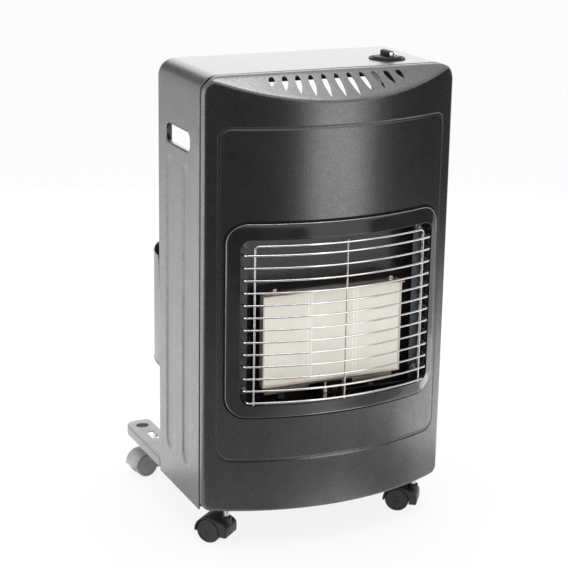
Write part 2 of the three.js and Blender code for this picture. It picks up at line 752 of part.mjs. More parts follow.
function knob() {
  const top = knobFloor + knobSkirt;
  const disc = turned([[0, 0], [knobRadius, 0], [knobRadius, knobSkirt - 1.2], [knobRadius - 1.2, knobSkirt],
    [0, knobSkirt]], 24);
  const bar = roundedRect(-gripWidth / 2, -gripLength / 2, gripWidth / 2, gripLength / 2, 3.5);
  const grip = extruded(bar, gripHeight + 0.8, 5);
  const well = turned([[0, -1], [spindleRadius + fit, -1], [spindleRadius + fit, 8.6], [0, 8.6]]);
  return placed(disc, knobX, knobBack, knobFloor)
    .add(placed(grip, knobX, knobBack, top - 0.8))
    .subtract(placed(well, knobX, knobBack, knobFloor));
}

function knobInsert() {
  const front = knobBack - gripLength / 2 - fit;
  const foot = knobFloor + knobSkirt + fit;
  const side = insertWidth / 2;
  return block(knobX - side, knobX + side, front - 1.2, front, foot, foot + gripHeight - 2);
}

function inletNozzle() {
  const profile = [[0, 0], [7, 0], [7, 6], [4, 6], [4, 9], [5, 10], [4, 13], [5, 14], [4, 17], [5, 18],
    [3.6, 22], [0, 22]];
  const geometry = new THREE.LatheGeometry(profile.map(([r, h]) => new THREE.Vector2(r, h)), 12);
  return placed(geometry, knobX - 4, knobBack + valveSize / 2 + fit, valveFloor + 14);
}

function bayPartition() {
  const wide = half - sheet - ribDepth - 0.8;
  const back = housingBack + 4;
  const foot = trayTop + fit;
  const top = valveFloor - 50;
  return block(-wide, wide, back, back + 13, foot, top)
    .subtract(block(-wide + sheet, wide - sheet, back + sheet, back + 20, foot - 5, top - sheet));
}

// Plan of the tray at one inset, so that the skirt can follow its edge.
function trayPlan(inset) {
  const inner = half - armWidth + inset;
  const wide = half - inset;
  const inside = half - sheet - fit - inset;
  const rear = armReach - inset;
  const turn = (cx, cb, radius, from, to) => [0, 1, 2, 3, 4].map((i) => {
    const angle = THREE.MathUtils.degToRad(from + (to - from) * i / 4);
    return [cx + radius * Math.cos(angle), cb + radius * Math.sin(angle)];
  });
  const narrow = half - panelFootRadius - 2 - inset;
  const right = [
    [narrow, -panelReturn - 5.9 + inset],
    [narrow, 1 + inset],
    [inside, 1 + inset],
    [inside, shellDepth + fit + inset],
    [wide, shellDepth + fit + inset],
    ...turn(wide - armCorner + inset, rear - armCorner + inset, armCorner - inset, 0, 90),
    ...turn(inner + 8 - inset, rear - 8 + inset, 8 - inset, 90, 180),
    ...turn(inner - 10 - inset, trayRear + 10 - inset, 10 + inset, 0, -90),
  ];
  const left = [...right].reverse().map(([x, back]) => [-x, back]);
  return outline([...right, ...left]);
}

const padHalf = 150;
const padFront = 45;
const padRear = 168;
const padRise = 1.5;

function baseTray() {
  let body = standing(trayPlan(0), trayTop - traySkirt, trayTop)
    .subtract(standing(trayPlan(sheet), trayTop - traySkirt - 5, trayUnder));
  for (const side of [-1, 1]) {
    const small = new THREE.CylinderGeometry(armHoleRadius, armHoleRadius, 10, 16);
    small.rotateX(Math.PI / 2);
    small.scale(1, 0.85, 1);
    body = body.subtract(placed(small, side * (half - armHoleSide), armReach - armHoleEnd, trayTop));
    const middle = side * (half - armSlotSide);
    const long = roundedRect(middle - armSlotWidth / 2, armReach - armSlotEnd - armSlotLength,
      middle + armSlotWidth / 2, armReach - armSlotEnd, armSlotWidth / 2 - 0.1);
    body = body.subtract(standing(long, trayTop - 5, trayTop + 5, 4));
  }
  const pad = outline([[-padHalf, padFront], [padHalf, padFront], [padHalf, padRear], [-padHalf, padRear]]);
  const well = block(-padHalf + sheet, padHalf - sheet, padFront + sheet, padRear - sheet,
    trayUnder - 1, trayTop + padRise - sheet);
  return body.add(standing(pad, trayUnder + 0.2, trayTop + padRise)).subtract(well);
}

// Plan points of the bottle guard's outer face, from one end round to the other.
function guardPlan(outset) {
  const reach = bottleGuardReach - shellDepth;
  const run = new THREE.SplineCurve([
    new THREE.Vector2(half - 2.5, shellDepth + 1.5),
    new THREE.Vector2(half - 4, shellDepth + reach * 0.2),
    new THREE.Vector2(half - 12, shellDepth + reach * 0.456),
    new THREE.Vector2(half - 38, shellDepth + reach * 0.8),
    new THREE.Vector2(half - 100, shellDepth + reach * 0.96),
    new THREE.Vector2(50, bottleGuardReach - 0.5),
    new THREE.Vector2(0, bottleGuardReach),
  ]);
  const points = [];
  for (let i = 0; i <= 10; i += 1) {
    const spot = run.getPoint(i / 10);
    const along = run.getTangent(i / 10);
    const shift = i === 0 || i === 10 ? new THREE.Vector2(i === 0 ? 1 : 0, i === 0 ? 0 : 1)
      : new THREE.Vector2(along.y, -along.x);
    points.push([spot.x + shift.x * outset, spot.y + shift.y * outset]);
  }
  return [...points, ...points.slice(0, -1).reverse().map(([x, back]) => [-x, back])];
}

function bottleGuard() {
  const band = (inner, outer, z0, z1) => standing(
    outline([...guardPlan(outer), ...guardPlan(inner).reverse()]), z0, z1);
  const slant = (from, to) => crossing(outline([[shellDepth, bottleGuardTop - 105],
    [shellDepth + 1.5, bottleGuardTop - 105], [shellDepth + 8, bottleGuardTop + 1],
    [shellDepth, bottleGuardTop + 1]]), from, to);
  return band(-sheet, 0, bottleGuardBottom, bottleGuardTop)
    .add(band(-sheet - 0.8, 0.8, bottleGuardTop - 4, bottleGuardTop))
    .add(band(-sheet - 0.8, 0.8, bottleGuardBottom, bottleGuardBottom + 4))
    .subtract(slant(-half - 5, half + 5));
}

// One castor about its stem; the wheels trail at the given heading.
function castorParts() {
  const face = hoodWeb / 2 + fit + wheelWidth;
  const drum = (radius, w0, w1, sides) => {
    const geometry = new THREE.CylinderGeometry(radius, radius, w1 - w0, sides);
    geometry.translate(castorTrail, (w0 + w1) / 2, 0);
    return solid(geometry);
  };
  const cut = (x0, x1, z0, z1) => {
    const geometry = new THREE.BoxGeometry(x1 - x0, 80, z1 - z0);
    geometry.translate((x0 + x1) / 2, 0, (z0 + z1) / 2);
    return solid(geometry);
  };
  const level = (body) => body.translate([0, 0, wheelRadius]);
  const clear = wheelRadius + 1;
  const wide = face + 1;
  const boss = turned([[0, wheelRadius - 6], [stemRadius + 3.5, wheelRadius - 6],
    [stemRadius + 3.5, 45], [0, 45]], 12);
  const bore = turned([[0, 20], [stemRadius + fit, 20], [stemRadius + fit, 60], [0, 60]], 12);
  // the hood's side outline from its front edge up and back to the wheels' tops
  const crown = clear + hoodThickness;
  const nose = new THREE.ExtrudeGeometry(outline([
    [castorTrail, hoodFoot - wheelRadius], [castorTrail, crown], [castorTrail - 12, crown - 1],
    [2 - hoodFront, crown - 5], [-hoodFront, crown - 9], [-hoodFront, hoodFoot - wheelRadius],
  ]), { depth: 2 * wide, bevelEnabled: false });
  nose.rotateX(Math.PI / 2);
  nose.translate(0, wide, 0);
  const hood = level(drum(crown, -wide, wide, 20)
    .subtract(cut(castorTrail - 40, castorTrail + 40, -40, -1))
    .add(solid(nose)))
    .add(solid(boss))
    .add(level(drum(axleRadius + 4, -hoodWeb / 2, hoodWeb / 2, 12)))
    .subtract(level(drum(clear, hoodWeb / 2, wide + 5, 20)))
    .subtract(level(drum(clear, -wide - 5, -hoodWeb / 2, 20)))
    .subtract(level(drum(axleRadius + fit, -30, 30, 12)))
    .subtract(solid(bore));
  const axle = level(drum(axleRadius, -face + 2.6, face - 2.6, 12));
  const wheel = (side) => {
    const inner = hoodWeb / 2 + fit;
    const depth = face - 2.3;
    const points = [[0, depth], [axleRadius + fit, depth], [axleRadius + fit, inner],
      [wheelRadius - 1, inner], [wheelRadius, inner + 1], [wheelRadius, face - 1.4],
      [wheelRadius - 1.4, face], [0, face]];
    const geometry = new THREE.LatheGeometry(points.map(([r, h]) => new THREE.Vector2(r, h)), 20);
    if (side < 0) geometry.rotateX(Math.PI);
    geometry.translate(castorTrail, 0, wheelRadius);
    return solid(geometry);
  };
  const collar = stemRadius + 1.2;
  const stem = turned([[0, 22], [stemRadius, 22], [stemRadius, trayUnder - 4], [collar, trayUnder - 4],
    [collar, trayUnder - fit], [0, trayUnder - fit]], 12);
  return { stem: solid(stem), hood, axle, wheel_left: wheel(-1), wheel_right: wheel(1) };
}

function castor(name, x, back, heading) {
  const parts = castorParts();
  const looks = {
    stem: 'steel', hood: 'plastic', axle: 'steel', wheel_left: 'rubber', wheel_right: 'rubber',
  };
  for (const [piece, look] of Object.entries(looks)) {
    const body = parts[piece].rotate([0, 0, heading]).translate([x, seamY + back, 0]);
    add(`castor_${name}_${piece}`, body, look);
  }
}

add('cabinet_shell', cabinetShell(), 'grey');
add('front_panel', frontPanel(), 'charcoal');
add('window_surround', windowSurround(), 'charcoal');
add('wire_guard', wireGuard(), 'chrome');
for (const [side, word] of [[-1, 'left'], [1, 'right']]) {
  screwRows.forEach((z, i) => {
    add(`guard_screw_${word}_${i ? 'upper' : 'lower'}`, guardScrew(side, z), 'steel');
  });
}
add('burner_housing', burnerHousing(), 'soot');
add('burner_plenum', burnerPlenum(), 'steel');
const order = ['left', 'middle', 'right'];
order.forEach((word, i) => add(`ceramic_plaque_${word}`, plaque(i - 1), 'ceramic'));
add('burner_frame', burnerFrame(), 'heatSteel');
add('plaque_clip_left', plaqueClip(-clipX), 'steel');
add('plaque_clip_right', plaqueClip(clipX), 'steel');
add('burner_apron', burnerApron(), 'steel');
add('burner_manifold', burnerManifold(), 'steel');
throats.forEach((x, i) => add(`injector_${order[i]}`, injector(x), 'brass'));
add('pilot_bracket', pilotBracket(), 'steel');
add('pilot_burner', pilotBurner(), 'brass');
add('thermocouple', thermocouple(), 'copper');
add('spark_electrode', sparkElectrode(), 'ceramic');
add('spark_lead', sparkLead(), 'plastic');
add('pilot_pipe', pilotPipe(), 'copper');
add('burner_pipe', burnerPipe(), 'steel');
add('gas_valve', gasValve(), 'steel');
add('valve_bracket', valveBracket(), 'steel');
add('valve_spindle', valveSpindle(), 'steel');
add('knob_bezel', knobBezel(), 'plastic');
add('knob', knob(), 'plastic');
add('knob_insert', knobInsert(), 'chrome');
add('inlet_nozzle', inletNozzle(), 'brass');
add('bay_partition', bayPartition(), 'grey');
add('base_tray', baseTray(), 'grey');
add('bottle_guard', bottleGuard(), 'grey');
const castorFrontX = half - castorFrontSide;
const castorRearX = half - castorRearSide;
castor('front_left', -castorFrontX, castorFrontBack, 130);
castor('front_right', castorFrontX, castorFrontBack, 143);
castor('rear_left', -castorRearX, armReach - castorRearEnd, 190);
castor('rear_right', castorRearX, armReach - castorRearEnd, -10);

export default heater;
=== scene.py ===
# Portable gas cabinet heater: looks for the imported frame, in metres, +Z up, front towards -Y.
import bpy, bmesh, math
from mathutils import Vector, Matrix


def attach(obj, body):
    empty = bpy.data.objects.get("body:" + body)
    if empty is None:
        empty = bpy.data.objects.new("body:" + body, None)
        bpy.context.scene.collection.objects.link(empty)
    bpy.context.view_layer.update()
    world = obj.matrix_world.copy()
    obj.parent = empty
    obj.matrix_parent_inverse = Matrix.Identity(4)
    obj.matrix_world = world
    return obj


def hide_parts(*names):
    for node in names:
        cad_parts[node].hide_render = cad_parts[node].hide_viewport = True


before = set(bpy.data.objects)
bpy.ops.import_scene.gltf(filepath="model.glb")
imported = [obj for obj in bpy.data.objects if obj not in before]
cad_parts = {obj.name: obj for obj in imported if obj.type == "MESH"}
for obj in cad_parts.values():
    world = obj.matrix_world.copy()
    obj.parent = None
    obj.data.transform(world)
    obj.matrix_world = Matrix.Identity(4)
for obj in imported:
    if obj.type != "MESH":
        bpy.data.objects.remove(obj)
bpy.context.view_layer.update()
mm = 0.001
seamBack = -134.7          # the seam between shell and front panel, in mm from the origin
crease = 38                # degrees; an edge that turns more than this looks sharp

# sizes shared by several pieces, in mm; the curve is the front's bulge, the slope over it and their fold
body = dict(half=210, foot=58, top=746, corner=27, depth=175, sheet=1.2)
curve = dict(radius=425.2, centre=356.1, panelReturn=13.6, fall=0.667, fold=5.0)
burner = dict(plaque=78.2, joint=0.5, foot=262, high=147, face=-35, thick=13)


def at(x, back, z):
    # a point from mm across, back from the seam and up
    return Vector((x * mm, (back + seamBack) * mm, z * mm))


def bulge(x, proud=0.0):
    # how far back the bulged front lies, or an arc proud of it
    return curve["centre"] - math.sqrt((curve["radius"] + proud) ** 2 - x * x)


def soften(t):
    t = min(max(t, 0.0), 1.0)
    return t * t * (3 - 2 * t)


def arcPoints(x, y, radius, start, end, steps):
    turns = [math.radians(start + (end - start) * s / steps) for s in range(steps + 1)]
    return [(x + radius * math.cos(turn), y + radius * math.sin(turn)) for turn in turns]


def openMesh(piece):
    bm = bmesh.new()
    bm.from_mesh(piece.data)
    return bm


def closeMesh(piece, bm, sharp):
    # writes a mesh back, smooth between its sharp edges
    for face in bm.faces:
        face.smooth = True
    bm.to_mesh(piece.data)
    bm.free()
    piece.data.set_sharp_from_angle(angle=math.radians(sharp))


def meshPiece(name, bm, sharp=crease):
    piece = bpy.data.objects.new(name, bpy.data.meshes.new(name))
    bpy.context.scene.collection.objects.link(piece)
    closeMesh(piece, bm, sharp)
    return piece


def discard(piece):
    data = piece.data
    bpy.data.objects.remove(piece)
    bpy.data.meshes.remove(data)


def applyAll(piece):
    # bakes the modifiers into the mesh
    graph = bpy.context.evaluated_depsgraph_get()
    made = bpy.data.meshes.new_from_object(piece.evaluated_get(graph))
    old = piece.data
    piece.modifiers.clear()
    piece.data = made
    bpy.data.meshes.remove(old)
    made.set_sharp_from_angle(angle=math.radians(crease))


def thicken(piece):
    # gives a formed surface the sheet's gauge, inwards
    mod = piece.modifiers.new("wall", "SOLIDIFY")
    mod.thickness = body["sheet"] * mm
    mod.offset = -1
    mod.use_even_offset = True
    applyAll(piece)


def cutWith(piece, cutter):
    mod = piece.modifiers.new("cut", "BOOLEAN")
    mod.operation = "DIFFERENCE"
    mod.solver = "EXACT"
    mod.object = cutter
    applyAll(piece)
    discard(cutter)


def formedSheet(name, across, along, place, towards, closed=False, sharp=crease):
    # a grid whose points are laid out by place(i, j), its face turned towards a given way where there is one;
    # closed joins the first column to the last
    bm = bmesh.new()
    bmesh.ops.create_grid(bm, x_segments=across, y_segments=along, size=1.0)
    for vert in bm.verts:
        i = round((vert.co.x + 1) / 2 * across)
        j = round((vert.co.y + 1) / 2 * along)
        vert.co = place(i, j)
    if closed:
        bmesh.ops.remove_doubles(bm, verts=bm.verts, dist=1e-6)
    bmesh.ops.recalc_face_normals(bm, faces=bm.faces)
    if towards is not None:
        facing = [face.normal.dot(towards(face.calc_center_median())) * face.calc_area() for face in bm.faces]
        if sum(facing) < 0:
            bmesh.ops.reverse_faces(bm, faces=bm.faces)
    return meshPiece(name, bm, sharp)


def ringSheet(name, rings, sharp=crease, towards=None):
    # a sheet through closed rings of points, each point as at() takes it
    count = len(rings[0])

    def place(i, j):
        return at(*rings[j][i % count])

    return formedSheet(name, count, len(rings) - 1, place, towards, True, sharp)


def bevelEdges(bm, edges, offset, segments):
    bmesh.ops.bevel(bm, geom=list(edges), offset=offset * mm, offset_type="OFFSET", segments=segments,
                    profile=0.5, affect="EDGES", material=-1, clamp_overlap=True)


def turnedMesh(bm, profile, steps, place):
    # a profile of (radius, height) in mm spun round +Z and laid by a matrix; points made before carry a tag
    verts = [bm.verts.new((r * mm, 0, h * mm)) for r, h in profile]
    edges = [bm.edges.new(pair) for pair in zip(verts, verts[1:])]
    bmesh.ops.spin(bm, geom=verts + edges, cent=(0, 0, 0), axis=(0, 0, 1), dvec=(0, 0, 0), angle=2 * math.pi,
                   steps=steps, use_merge=True, use_duplicate=False)
    bmesh.ops.remove_doubles(bm, verts=[v for v in bm.verts if not v.tag], dist=1e-6)
    made = [v for v in bm.verts if not v.tag]
    bmesh.ops.recalc_face_normals(bm, faces=list({f for v in made for f in v.link_faces}))
    bmesh.ops.transform(bm, matrix=place, verts=made)


def boxMesh(bm, low, high, bevel=0.0, segments=3):
    # a block between two corners, each as at() takes it
    verts = bmesh.ops.create_cube(bm, size=1.0)["verts"]
    bmesh.ops.scale(bm, vec=[(b - a) * mm for a, b in zip(low, high)], verts=verts)
    bmesh.ops.translate(bm, vec=at(*[(a + b) / 2 for a, b in zip(low, high)]), verts=verts)
    if bevel > 0:
        bevelEdges(bm, {e for v in verts for e in v.link_edges}, bevel, segments)
    return verts


def roundBox(bm, block, axis, radius, segments):
    # rounds the edges of a block that run along one axis
    edges = {e for v in block for e in v.link_edges if abs(e.verts[0].co[axis] - e.verts[1].co[axis]) > 1e-6}
    bevelEdges(bm, edges, radius, segments)


def drumMesh(bm, radius, length, segments):
    return bmesh.ops.create_cone(bm, cap_ends=True, segments=segments, depth=length * mm,
                                 radius1=radius * mm, radius2=radius * mm)["verts"]


def pushOut(bm, made, way):
    # moves the points that an extrusion has made, by a way in mm
    fresh = [part for part in made["geom"] if isinstance(part, bmesh.types.BMVert)]
    bmesh.ops.translate(bm, vec=Vector(way) * mm, verts=fresh)


def wirePiece(name, runs, radius, sides, cyclic=False):
    # round wires through points in metres
    data = bpy.data.curves.new(name, "CURVE")
    data.dimensions = "3D"
    data.bevel_depth = radius * mm
    data.bevel_resolution = sides
    data.use_fill_caps = True
    for points in runs:
        spline = data.splines.new("POLY")
        spline.points.add(len(points) - 1)
        for point, spot in zip(spline.points, points):
            point.co = (*spot, 1)
        spline.use_cyclic_u = cyclic
        spline.use_smooth = True
    tube = bpy.data.objects.new(name + "Path", data)
    bpy.context.scene.collection.objects.link(tube)
    graph = bpy.context.evaluated_depsgraph_get()
    mesh = bpy.data.meshes.new_from_object(tube.evaluated_get(graph))
    bpy.data.objects.remove(tube)
    bpy.data.curves.remove(data)
    for face in mesh.polygons:
        face.use_smooth = True
    mesh.name = name
    piece = bpy.data.objects.new(name, mesh)
    bpy.context.scene.collection.objects.link(piece)
    return piece


def finished(piece, material, bodyName, nodes=()):
    piece.data.materials.clear()
    piece.data.materials.append(material)
    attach(piece, bodyName)
    if nodes:
        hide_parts(*nodes)


def blank(name):
    material = bpy.data.materials.new(name)
    material.use_nodes = True
    tree = material.node_tree
    coords = tree.nodes.new("ShaderNodeTexCoord")
    return material, tree, tree.nodes["Principled BSDF"], coords.outputs["Object"]


def feed(tree, value, socket):
    # a link, a colour or a number into a socket
    if isinstance(value, bpy.types.NodeSocket):
        tree.links.new(value, socket)
    else:
        socket.default_value = (*value, 1) if isinstance(value, tuple) else value


def axesOf(tree, coords):
    parts = tree.nodes.new("ShaderNodeSeparateXYZ")
    tree.links.new(coords, parts.inputs["Vector"])
    return parts.outputs


def noiseOf(tree, coords, scale, detail, roughness=0.5, stretch=None):
    noise = tree.nodes.new("ShaderNodeTexNoise")
    noise.inputs["Scale"].default_value = scale
    noise.inputs["Detail"].default_value = detail
    noise.inputs["Roughness"].default_value = roughness
    if stretch:
        stretched = tree.nodes.new("ShaderNodeMapping")
        stretched.inputs["Scale"].default_value = stretch
        tree.links.new(coords, stretched.inputs["Vector"])
        coords = stretched.outputs["Vector"]
    tree.links.new(coords, noise.inputs["Vector"])
    return noise.outputs["Fac"]


def cellsOf(tree, coords, scale, feature, output):
    cells = tree.nodes.new("ShaderNodeTexVoronoi")
    cells.feature = feature
    cells.inputs["Scale"].default_value = scale
    tree.links.new(coords, cells.inputs["Vector"])
    return cells.outputs[output]


def rampOf(tree, factor, stops):
    ramp = tree.nodes.new("ShaderNodeValToRGB")
    elements = ramp.color_ramp.elements
    for element, (position, colour) in zip(elements, (stops[0], stops[-1])):
        element.position = position
        element.color = (*colour, 1)
    for position, colour in stops[1:-1]:
        elements.new(position).color = (*colour, 1)
    tree.links.new(factor, ramp.inputs["Fac"])
    return ramp.outputs["Color"]


def rangeOf(tree, value, low, high, toLow, toHigh):
    node = tree.nodes.new("ShaderNodeMapRange")
    for label, number in (("From Min", low), ("From Max", high), ("To Min", toLow), ("To Max", toHigh)):
        node.inputs[label].default_value = number
    tree.links.new(value, node.inputs["Value"])
    return node.outputs["Result"]


def blendOf(tree, factor, first, second):
    mix = tree.nodes.new("ShaderNodeMix")
    mix.data_type = "RGBA"
    for value, label in ((factor, "Factor"), (first, "A"), (second, "B")):
        feed(tree, value, mix.inputs[label])
    return mix.outputs["Result"]


def bumpOf(tree, shader, height, distance, strength, under=None):
    bump = tree.nodes.new("ShaderNodeBump")
    bump.inputs["Distance"].default_value = distance * mm
    bump.inputs["Strength"].default_value = strength
    tree.links.new(height, bump.inputs["Height"])
    if under is not None:
        tree.links.new(under, bump.inputs["Normal"])
    tree.links.new(bump.outputs["Normal"], shader.inputs["Normal"])
    return bump.outputs["Normal"]


def mathOf(tree, operation, *values):
    node = tree.nodes.new("ShaderNodeMath")
    node.operation = operation
    for value, socket in zip(values, node.inputs):
        feed(tree, value, socket)
    return node.outputs["Value"]


def skin(tree, shader, colour, rough, metal=0.0):
    tree.links.new(colour, shader.inputs["Base Color"])
    tree.links.new(rough, shader.inputs["Roughness"])
    shader.inputs["Metallic"].default_value = metal


def texturedPaint(name, dark, light, fleck):
    # stove paint with a fine pebbled skin and metal flecks
    material, tree, shader, coords = blank(name)
    fine = noiseOf(tree, coords, 760, 2, 0.6)
    colour = rampOf(tree, noiseOf(tree, coords, 26, 4, 0.6), [(0.3, dark), (0.7, light)])
    flakes = rampOf(tree, cellsOf(tree, coords, 1100, "F1", "Color"), [(0.6, (0, 0, 0)), (0.95, (1, 1, 1))])
    skin(tree, shader, blendOf(tree, flakes, colour, fleck), rangeOf(tree, fine, 0.3, 0.7, 0.25, 0.34), 0.9)
    under = bumpOf(tree, shader, cellsOf(tree, coords, 480, "SMOOTH_F1", "Distance"), 0.07, 0.35)
    bumpOf(tree, shader, fine, 0.035, 0.35, under)
    return material


def enamel(name, dark, light):
    material, tree, shader, coords = blank(name)
    tone = rampOf(tree, noiseOf(tree, coords, 30, 4), [(0.3, dark), (0.7, light)])
    skin(tree, shader, tone, rangeOf(tree, noiseOf(tree, coords, 90, 5), 0.3, 0.7, 0.1, 0.2))
    bumpOf(tree, shader, noiseOf(tree, coords, 260, 2), 0.04, 0.35)
    shader.inputs["Coat Weight"].default_value = 0.4
    shader.inputs["Coat Roughness"].default_value = 0.08
    return material


def plainMetal(name, dark, light, rough, scratch=0.02, stretch=(1, 1, 1), metal=1.0, scale=220):
    # streaks of a scale, drawn out by the stretch, scratched to a depth in mm
    material, tree, shader, coords = blank(name)
    streak = noiseOf(tree, coords, scale, 5, 0.6, stretch)
    tone = rampOf(tree, streak, [(0.32, dark), (0.68, light)])
    skin(tree, shader, tone, rangeOf(tree, streak, 0.3, 0.7, *rough), metal)
    bumpOf(tree, shader, streak, scratch, 0.4)
    return material


def spangled(name, dark, light):
    # galvanised sheet with its crystal pattern
    material, tree, shader, coords = blank(name)
    crystals = cellsOf(tree, coords, 140, "F1", "Color")
    tone = rampOf(tree, crystals, [(0.2, dark), (0.8, light)])
    skin(tree, shader, tone, rangeOf(tree, crystals, 0.2, 0.8, 0.28, 0.42), 0.9)
    bumpOf(tree, shader, noiseOf(tree, coords, 300, 3), 0.02, 0.4)
    return material


def moulded(name, dark, light, rough, grain, scale=700, shine=0.5):
    # plastic, rubber or glazed ceramic with a grain of a depth in mm and a scale
    material, tree, shader, coords = blank(name)
    tone = rampOf(tree, noiseOf(tree, coords, 60, 3), [(0.3, dark), (0.7, light)])
    skin(tree, shader, tone, rangeOf(tree, noiseOf(tree, coords, 180, 3), 0.3, 0.7, *rough))
    bumpOf(tree, shader, cellsOf(tree, coords, scale, "SMOOTH_F1", "Distance"), grain, 0.5)
    shader.inputs["Specular IOR Level"].default_value = shine
    return material


def piercedCeramic(name):
    # cream plaques with close rows of small holes and plain borders at their joints; the holes are painted
    # darker, a painted shade inside them
    material, tree, shader, coords = blank(name)
    axes = axesOf(tree, coords)
    wave = 2 * math.pi / (2.6 * mm)          # a hole every 2.6 mm
    waves = [mathOf(tree, "COSINE", mathOf(tree, "MULTIPLY", axes[axis], wave)) for axis in "XZ"]
    dots = rangeOf(tree, mathOf(tree, "ADD", *waves), 0.7, 1.5, 0.0, 1.0)
    half = (burner["plaque"] + burner["joint"]) * mm / 2
    near = mathOf(tree, "SUBTRACT", half, mathOf(tree, "PINGPONG", mathOf(tree, "ABSOLUTE", axes["X"]), half))
    dots = mathOf(tree, "MULTIPLY", dots, rangeOf(tree, near, 3.6 * mm, 4.4 * mm, 0.0, 1.0))
    tone = rampOf(tree, noiseOf(tree, coords, 24, 4), [(0.3, (0.88, 0.84, 0.75)), (0.7, (0.94, 0.91, 0.835))])
    tone = blendOf(tree, rangeOf(tree, near, 3.4 * mm, 4.6 * mm, 0.8, 0.0), tone, (0.97, 0.955, 0.91))
    # painted shade: the holes darkened towards brown
    tone = blendOf(tree, mathOf(tree, "MULTIPLY", dots, 0.4), tone, (0.52, 0.46, 0.37))
    tone = blendOf(tree, rangeOf(tree, near, 0.1 * mm, 0.5 * mm, 0.1, 0.0), tone, (0.45, 0.41, 0.34))
    skin(tree, shader, tone, rangeOf(tree, noiseOf(tree, coords, 400, 2), 0.3, 0.7, 0.8, 0.95))
    under = bumpOf(tree, shader, mathOf(tree, "SUBTRACT", 1.0, dots), 0.5, 0.6)
    bumpOf(tree, shader, noiseOf(tree, coords, 900, 2), 0.08, 0.5, under)
    shader.inputs["Specular IOR Level"].default_value = 0.2
    return material


def heatTinted(name):
    # bright steel that has gone straw and bronze with heat
    material, tree, shader, coords = blank(name)
    tint = noiseOf(tree, coords, 14, 4, 0.6, (1, 1, 0.4))
    stops = [(0.3, (0.72, 0.7, 0.66)), (0.55, (0.66, 0.57, 0.47)), (0.75, (0.44, 0.34, 0.27))]
    tone = rampOf(tree, tint, stops)
    skin(tree, shader, tone, rangeOf(tree, noiseOf(tree, coords, 220, 3), 0.3, 0.7, 0.34, 0.48), 0.6)
    bumpOf(tree, shader, noiseOf(tree, coords, 120, 3), 0.05, 0.4)
    return material


paint = texturedPaint("charcoalPaint", (0.115, 0.115, 0.118), (0.14, 0.14, 0.143), (0.22, 0.22, 0.225))
frontPaint = texturedPaint("frontPaint", (0.112, 0.112, 0.115), (0.135, 0.135, 0.137), (0.21, 0.21, 0.205))
darkEnamel = enamel("surroundEnamel", (0.012, 0.012, 0.013), (0.02, 0.02, 0.021))
chrome = plainMetal("guardChrome", (0.78, 0.78, 0.78), (0.9, 0.9, 0.9), (0.06, 0.14), 0.01,
                    (1, 1, 30), scale=40)
screwSteel = plainMetal("screwSteel", (0.10, 0.10, 0.10), (0.16, 0.16, 0.16), (0.25, 0.4))
axleSteel = plainMetal("axleSteel", (0.45, 0.45, 0.45), (0.6, 0.6, 0.6), (0.2, 0.34))
castorSteel = plainMetal("stemSteel", (0.6, 0.6, 0.6), (0.78, 0.78, 0.78), (0.16, 0.3),
                         stretch=(1, 1, 6), scale=160)
galvanised = spangled("galvanisedSheet", (0.46, 0.47, 0.48), (0.6, 0.61, 0.62))
housingSheet = plainMetal("housingSheet", (0.036, 0.035, 0.036), (0.074, 0.072, 0.073), (0.24, 0.42), 0.03,
                          (1, 1, 3), 0.4, 30)
apronSheet = plainMetal("apronSheet", (0.09, 0.083, 0.077), (0.24, 0.225, 0.205), (0.2, 0.34), 0.03,
                        (0.3, 1, 4), 0.6, 60)
# dark steel for the burner's plenum and manifold and the pilot bracket, far darker than the galvanised sheet
darkInnerSteel = plainMetal("darkInnerSteel", (0.035, 0.033, 0.031), (0.10, 0.095, 0.085), (0.25, 0.45), 0.03,
                         (1, 1, 2), 0.85, 60)
burnerSteel = heatTinted("heatTintedSteel")
ceramic = piercedCeramic("piercedCeramic")
insulator = moulded("insulatorCeramic", (0.72, 0.7, 0.65), (0.82, 0.8, 0.75), (0.25, 0.4), 0.01)
brass = plainMetal("turnedBrass", (0.55, 0.4, 0.16), (0.7, 0.54, 0.25), (0.2, 0.35), 0.01,
                   (1, 1, 12), scale=120)
copper = plainMetal("drawnCopper", (0.6, 0.3, 0.18), (0.75, 0.42, 0.27), (0.22, 0.38), 0.01,
                    (1, 1, 8), scale=90)
castAlloy = plainMetal("castAlloy", (0.20, 0.20, 0.20), (0.30, 0.30, 0.29), (0.4, 0.55), 0.06,
                       metal=0.9, scale=200)
# pale metal for the rim bead, much brighter than the black enamel: a painted highlight
rimHighlightMetal = plainMetal("rimHighlightMetal", (0.36, 0.36, 0.365), (0.48, 0.48, 0.485), (0.12, 0.2), 0.01, scale=200)
blackPlastic = moulded("knobPlastic", (0.01, 0.01, 0.011), (0.016, 0.016, 0.017), (0.4, 0.52), 0.015,
                       shine=0.22)
bezelPlastic = moulded("bezelPlastic", (0.008, 0.008, 0.009), (0.014, 0.014, 0.015), (0.5, 0.62), 0.02,
                       500, 0.15)
# near-black sheet for the strips that paint the shade in the seam and round the surround
shadeBlack = moulded("shadeBlack", (0.006, 0.006, 0.006), (0.01, 0.01, 0.01), (0.7, 0.8), 0.02, 400, 0.1)
# the same castor plastic made paler for the rear pair: painted light
greyPlastic = moulded("greyPlastic", (0.24, 0.241, 0.246), (0.3, 0.301, 0.307), (0.4, 0.52), 0.03, 500)
castorPlastic = moulded("castorPlastic", (0.014, 0.014, 0.015), (0.024, 0.024, 0.025), (0.34, 0.48), 0.03,
                        500, 0.4)
leadSleeve = moulded("leadSleeve", (0.03, 0.03, 0.03), (0.05, 0.05, 0.05), (0.45, 0.6), 0.02)
print("materials made")


